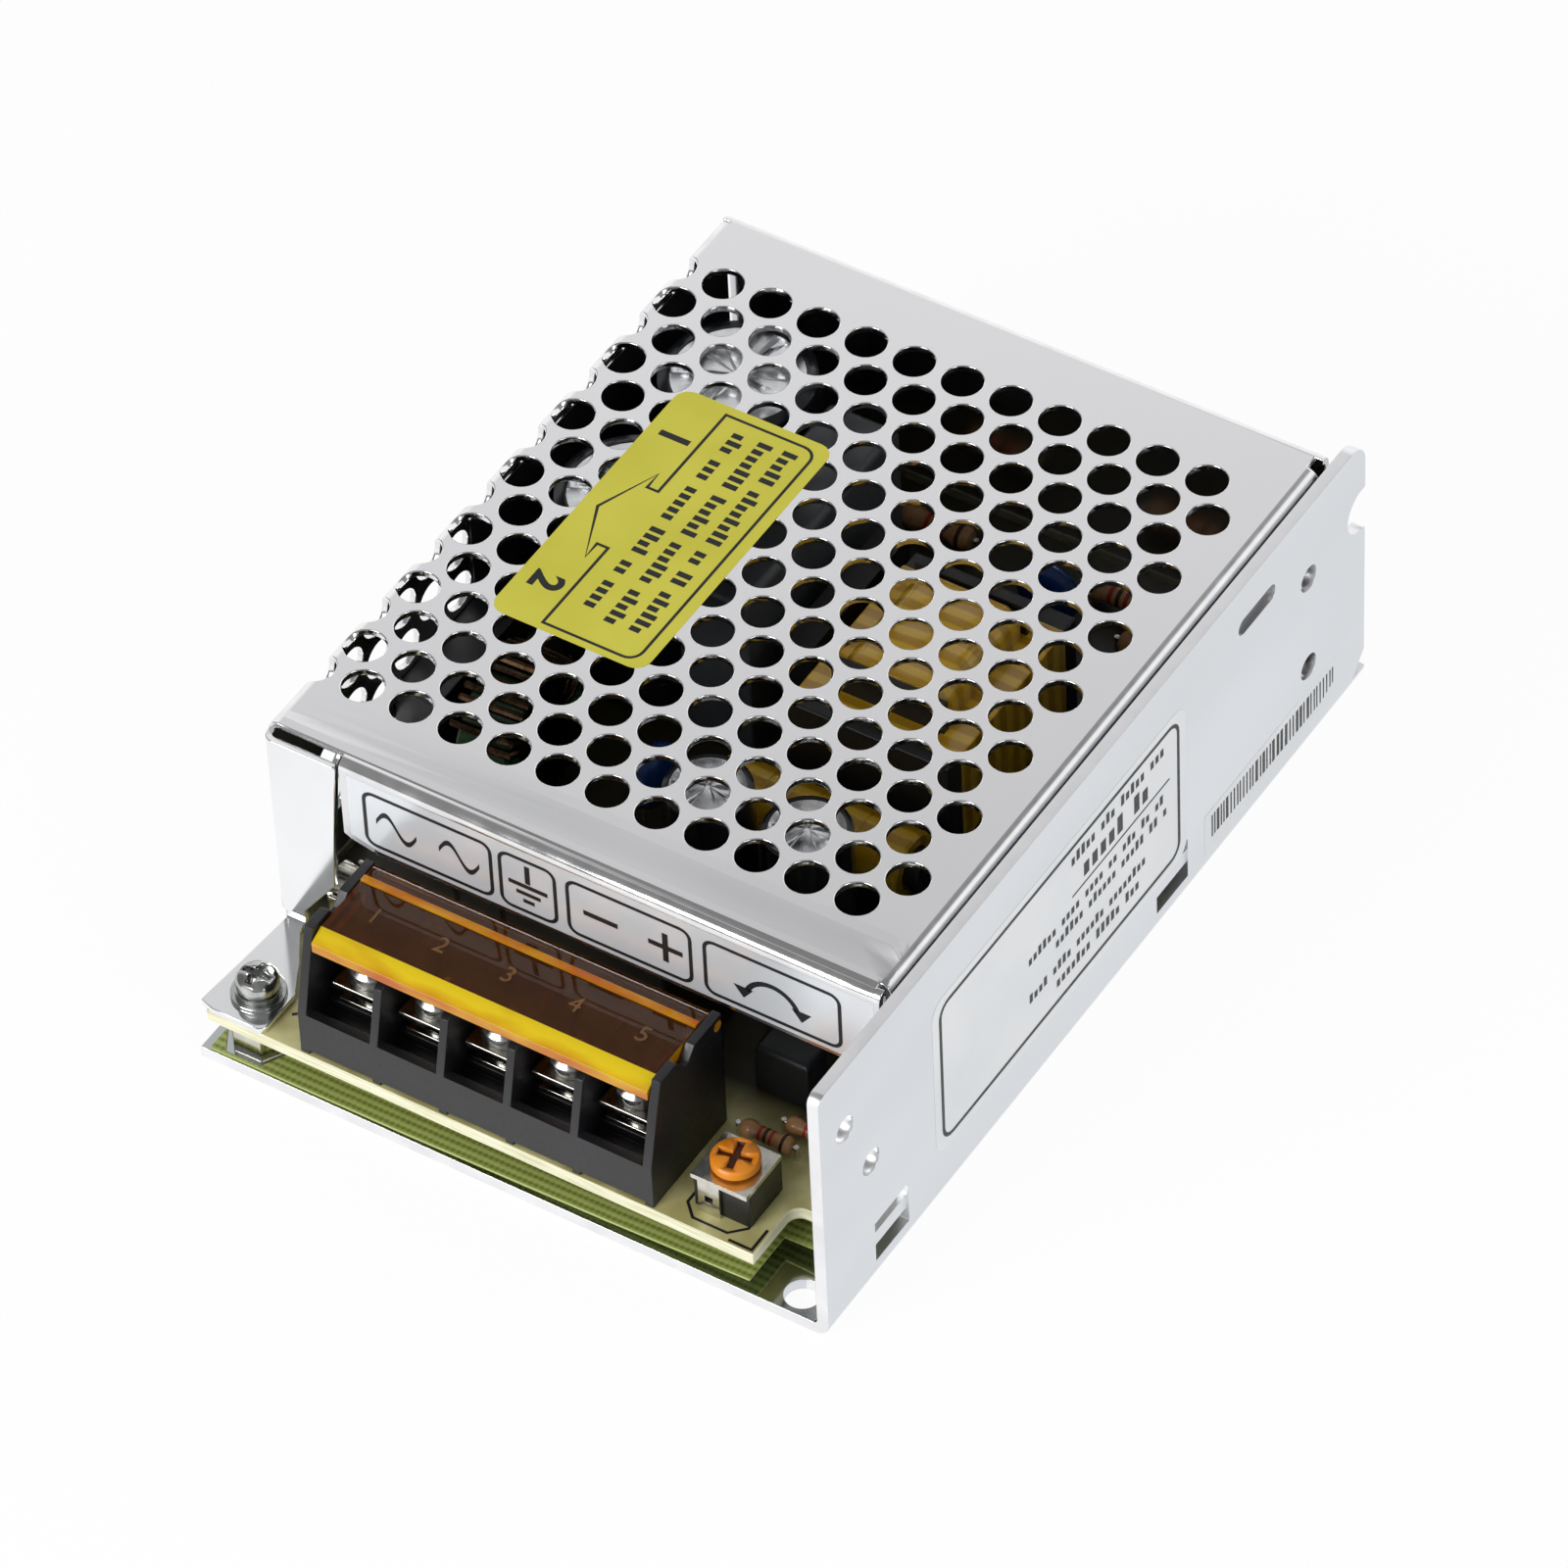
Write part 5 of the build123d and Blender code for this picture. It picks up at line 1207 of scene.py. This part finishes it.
def wall_labels():
    """A silver rating label with a black frame and rows of plain bars, and a sticker of plain ticks."""
    film = plane((WALL_FACE + 0.01, 0, 0), (0, 1, 0), (0, 0, 1))
    face = plane((WALL_FACE + 0.03, 0, 0), (0, 1, 0), (0, 0, 1))
    printed("wall_label_film", [rectangle(-33.6, 17.2, 6.9, 29.6, 2.2)], film,
            RATING_FILM, WALL_FILM_DEPTH)
    printed("wall_label_frame", frame_line(-32.3, 15.9, 8.0, 28.5, 2.0, 0.5), face,
            BLACK_INK, INK_DEPTH)
    rows = ((-6.0, 13.6, 25.6, 1.5, 1.0), (-3.6, 10.4, 22.0, 2.6, 1.7), (-14.8, 13.0, 18.6, 1.3, 0.95),
            (-9.4, 13.4, 16.4, 1.3, 0.95), (-14.8, 9.0, 12.9, 1.3, 0.95), (-9.4, 8.0, 10.4, 1.4, 1.0))
    bars = [rectangle(-6.0, 13.8, 20.9, 21.15)]
    for start, end, z, height, pitch in rows:
        bars += greeked_row(start, end, z, height, pitch)
    printed("wall_label_rows", bars, face, BLACK_INK, INK_DEPTH)
    printed("wall_sticker_film", [rectangle(20.9, 49.2, 2.4, 8.6, 0.4)], film,
            RATING_FILM, WALL_FILM_DEPTH)
    ticks = []
    y = 22.4
    while y < 48.0:
        wide = random.choice((0.25, 0.25, 0.5))
        ticks.append(rectangle(y, y + wide, 4.4, 7.6))
        y += wide + random.choice((0.3, 0.45))
    printed("wall_sticker_ticks", ticks, face, BLACK_INK, INK_DEPTH)


wall_labels()


# Floor, backdrop, light and camera

def seen_directly(tree):
    """1 for rays that show the surroundings, straight or in metal and clear plastic, and 0 for light."""
    rays = add(tree, "ShaderNodeLightPath").outputs
    both = maths(tree, "MAXIMUM", rays["Is Camera Ray"], rays["Is Glossy Ray"])
    return maths(tree, "MAXIMUM", both, rays["Is Transmission Ray"])


def make_floor():
    """A pale sweep: matt paper that looks white and still keeps the object's shadow."""
    bm = bmesh.new()
    bmesh.ops.create_grid(bm, x_segments=1, y_segments=1, size=6.0)
    mesh = bpy.data.meshes.new("floor")
    bm.to_mesh(mesh)
    bm.free()
    floor = bpy.data.objects.new("floor", mesh)
    bpy.context.scene.collection.objects.link(floor)
    paper, tree, surface = shader("matt_white_paper", "#FFFFFF", 0.9)
    glow = add(tree, "ShaderNodeEmission", Color=(1, 1, 1, 1), Strength=1.0)
    share = maths(tree, "MULTIPLY", seen_directly(tree), 0.94)
    mix = add(tree, "ShaderNodeMixShader", Fac=share, i1=surface.outputs["BSDF"],
              i2=glow.outputs["Emission"])
    tree.links.new(mix.outputs["Shader"], tree.nodes["Material Output"].inputs["Surface"])
    mesh.materials.append(paper)


def make_backdrop():
    """Surroundings that metal shows as white low down and grey overhead and in front, and a soft light."""
    world = bpy.data.worlds.new("studio")
    bpy.context.scene.world = world
    world.use_nodes = True
    tree = world.node_tree
    direction = add(tree, "ShaderNodeTexCoord")
    height = add(tree, "ShaderNodeSeparateXYZ", Vector=direction.outputs["Generated"])
    overhead = add(tree, "ShaderNodeMapRange", {"interpolation_type": "SMOOTHSTEP"},
                   Value=height.outputs["Z"], From_Min=0.68, From_Max=0.8, To_Min=1.0, To_Max=0.24)
    front = add(tree, "ShaderNodeMapRange", {"interpolation_type": "SMOOTHSTEP"}, Value=height.outputs["Y"],
                From_Min=0.2, From_Max=0.4, To_Min=0.26, To_Max=1.0)
    greyer = maths(tree, "MINIMUM", overhead.outputs["Result"], front.outputs["Result"])
    rays = add(tree, "ShaderNodeLightPath")
    shown = maths(tree, "MAXIMUM", greyer, rays.outputs["Is Camera Ray"])
    strength = add(tree, "ShaderNodeMix", {"data_type": "FLOAT"}, i0=seen_directly(tree), i2=0.52, i3=shown)
    backdrop = tree.nodes["Background"]
    backdrop.inputs["Color"].default_value = linear("#FFFFFF")
    tree.links.new(strength.outputs[0], backdrop.inputs["Strength"])


def softbox(name, place_mm, size_mm, watts):
    """A rectangular soft light aimed at the middle of the case."""
    light = bpy.data.lights.new(name, "AREA")
    light.shape = "RECTANGLE"
    light.size, light.size_y = (side * MM for side in size_mm)
    light.energy = watts
    holder = bpy.data.objects.new(name, light)
    holder.location = Vector(place_mm) * MM
    aim = Vector((0, 0, 20)) - Vector(place_mm)
    holder.rotation_euler = aim.to_track_quat("-Z", "Y").to_euler()
    bpy.context.scene.collection.objects.link(holder)


def photo_camera():
    """Stands where the photograph's camera did: a long lens, 46 degrees up and 34 degrees to the right."""
    camera = bpy.data.cameras.new("photo_camera")
    camera.sensor_width = 36
    camera.lens = 239.1
    camera.clip_end = 20
    holder = bpy.data.objects.new("photo_camera", camera)
    holder.matrix_world = plane((430.0, -636.1, 808.0), (0.8471, 0.5304, -0.0343), (-0.3619, 0.6230, 0.6936))
    bpy.context.scene.collection.objects.link(holder)
    bpy.context.scene.camera = holder


make_floor()
make_backdrop()
softbox("front_softbox", (-260, -820, 430), (520, 360), 5.0)
softbox("side_softbox", (760, -240, 330), (360, 300), 1.6)
photo_camera()
bpy.context.scene.view_settings.view_transform = "Standard"
bpy.context.view_layer.update()
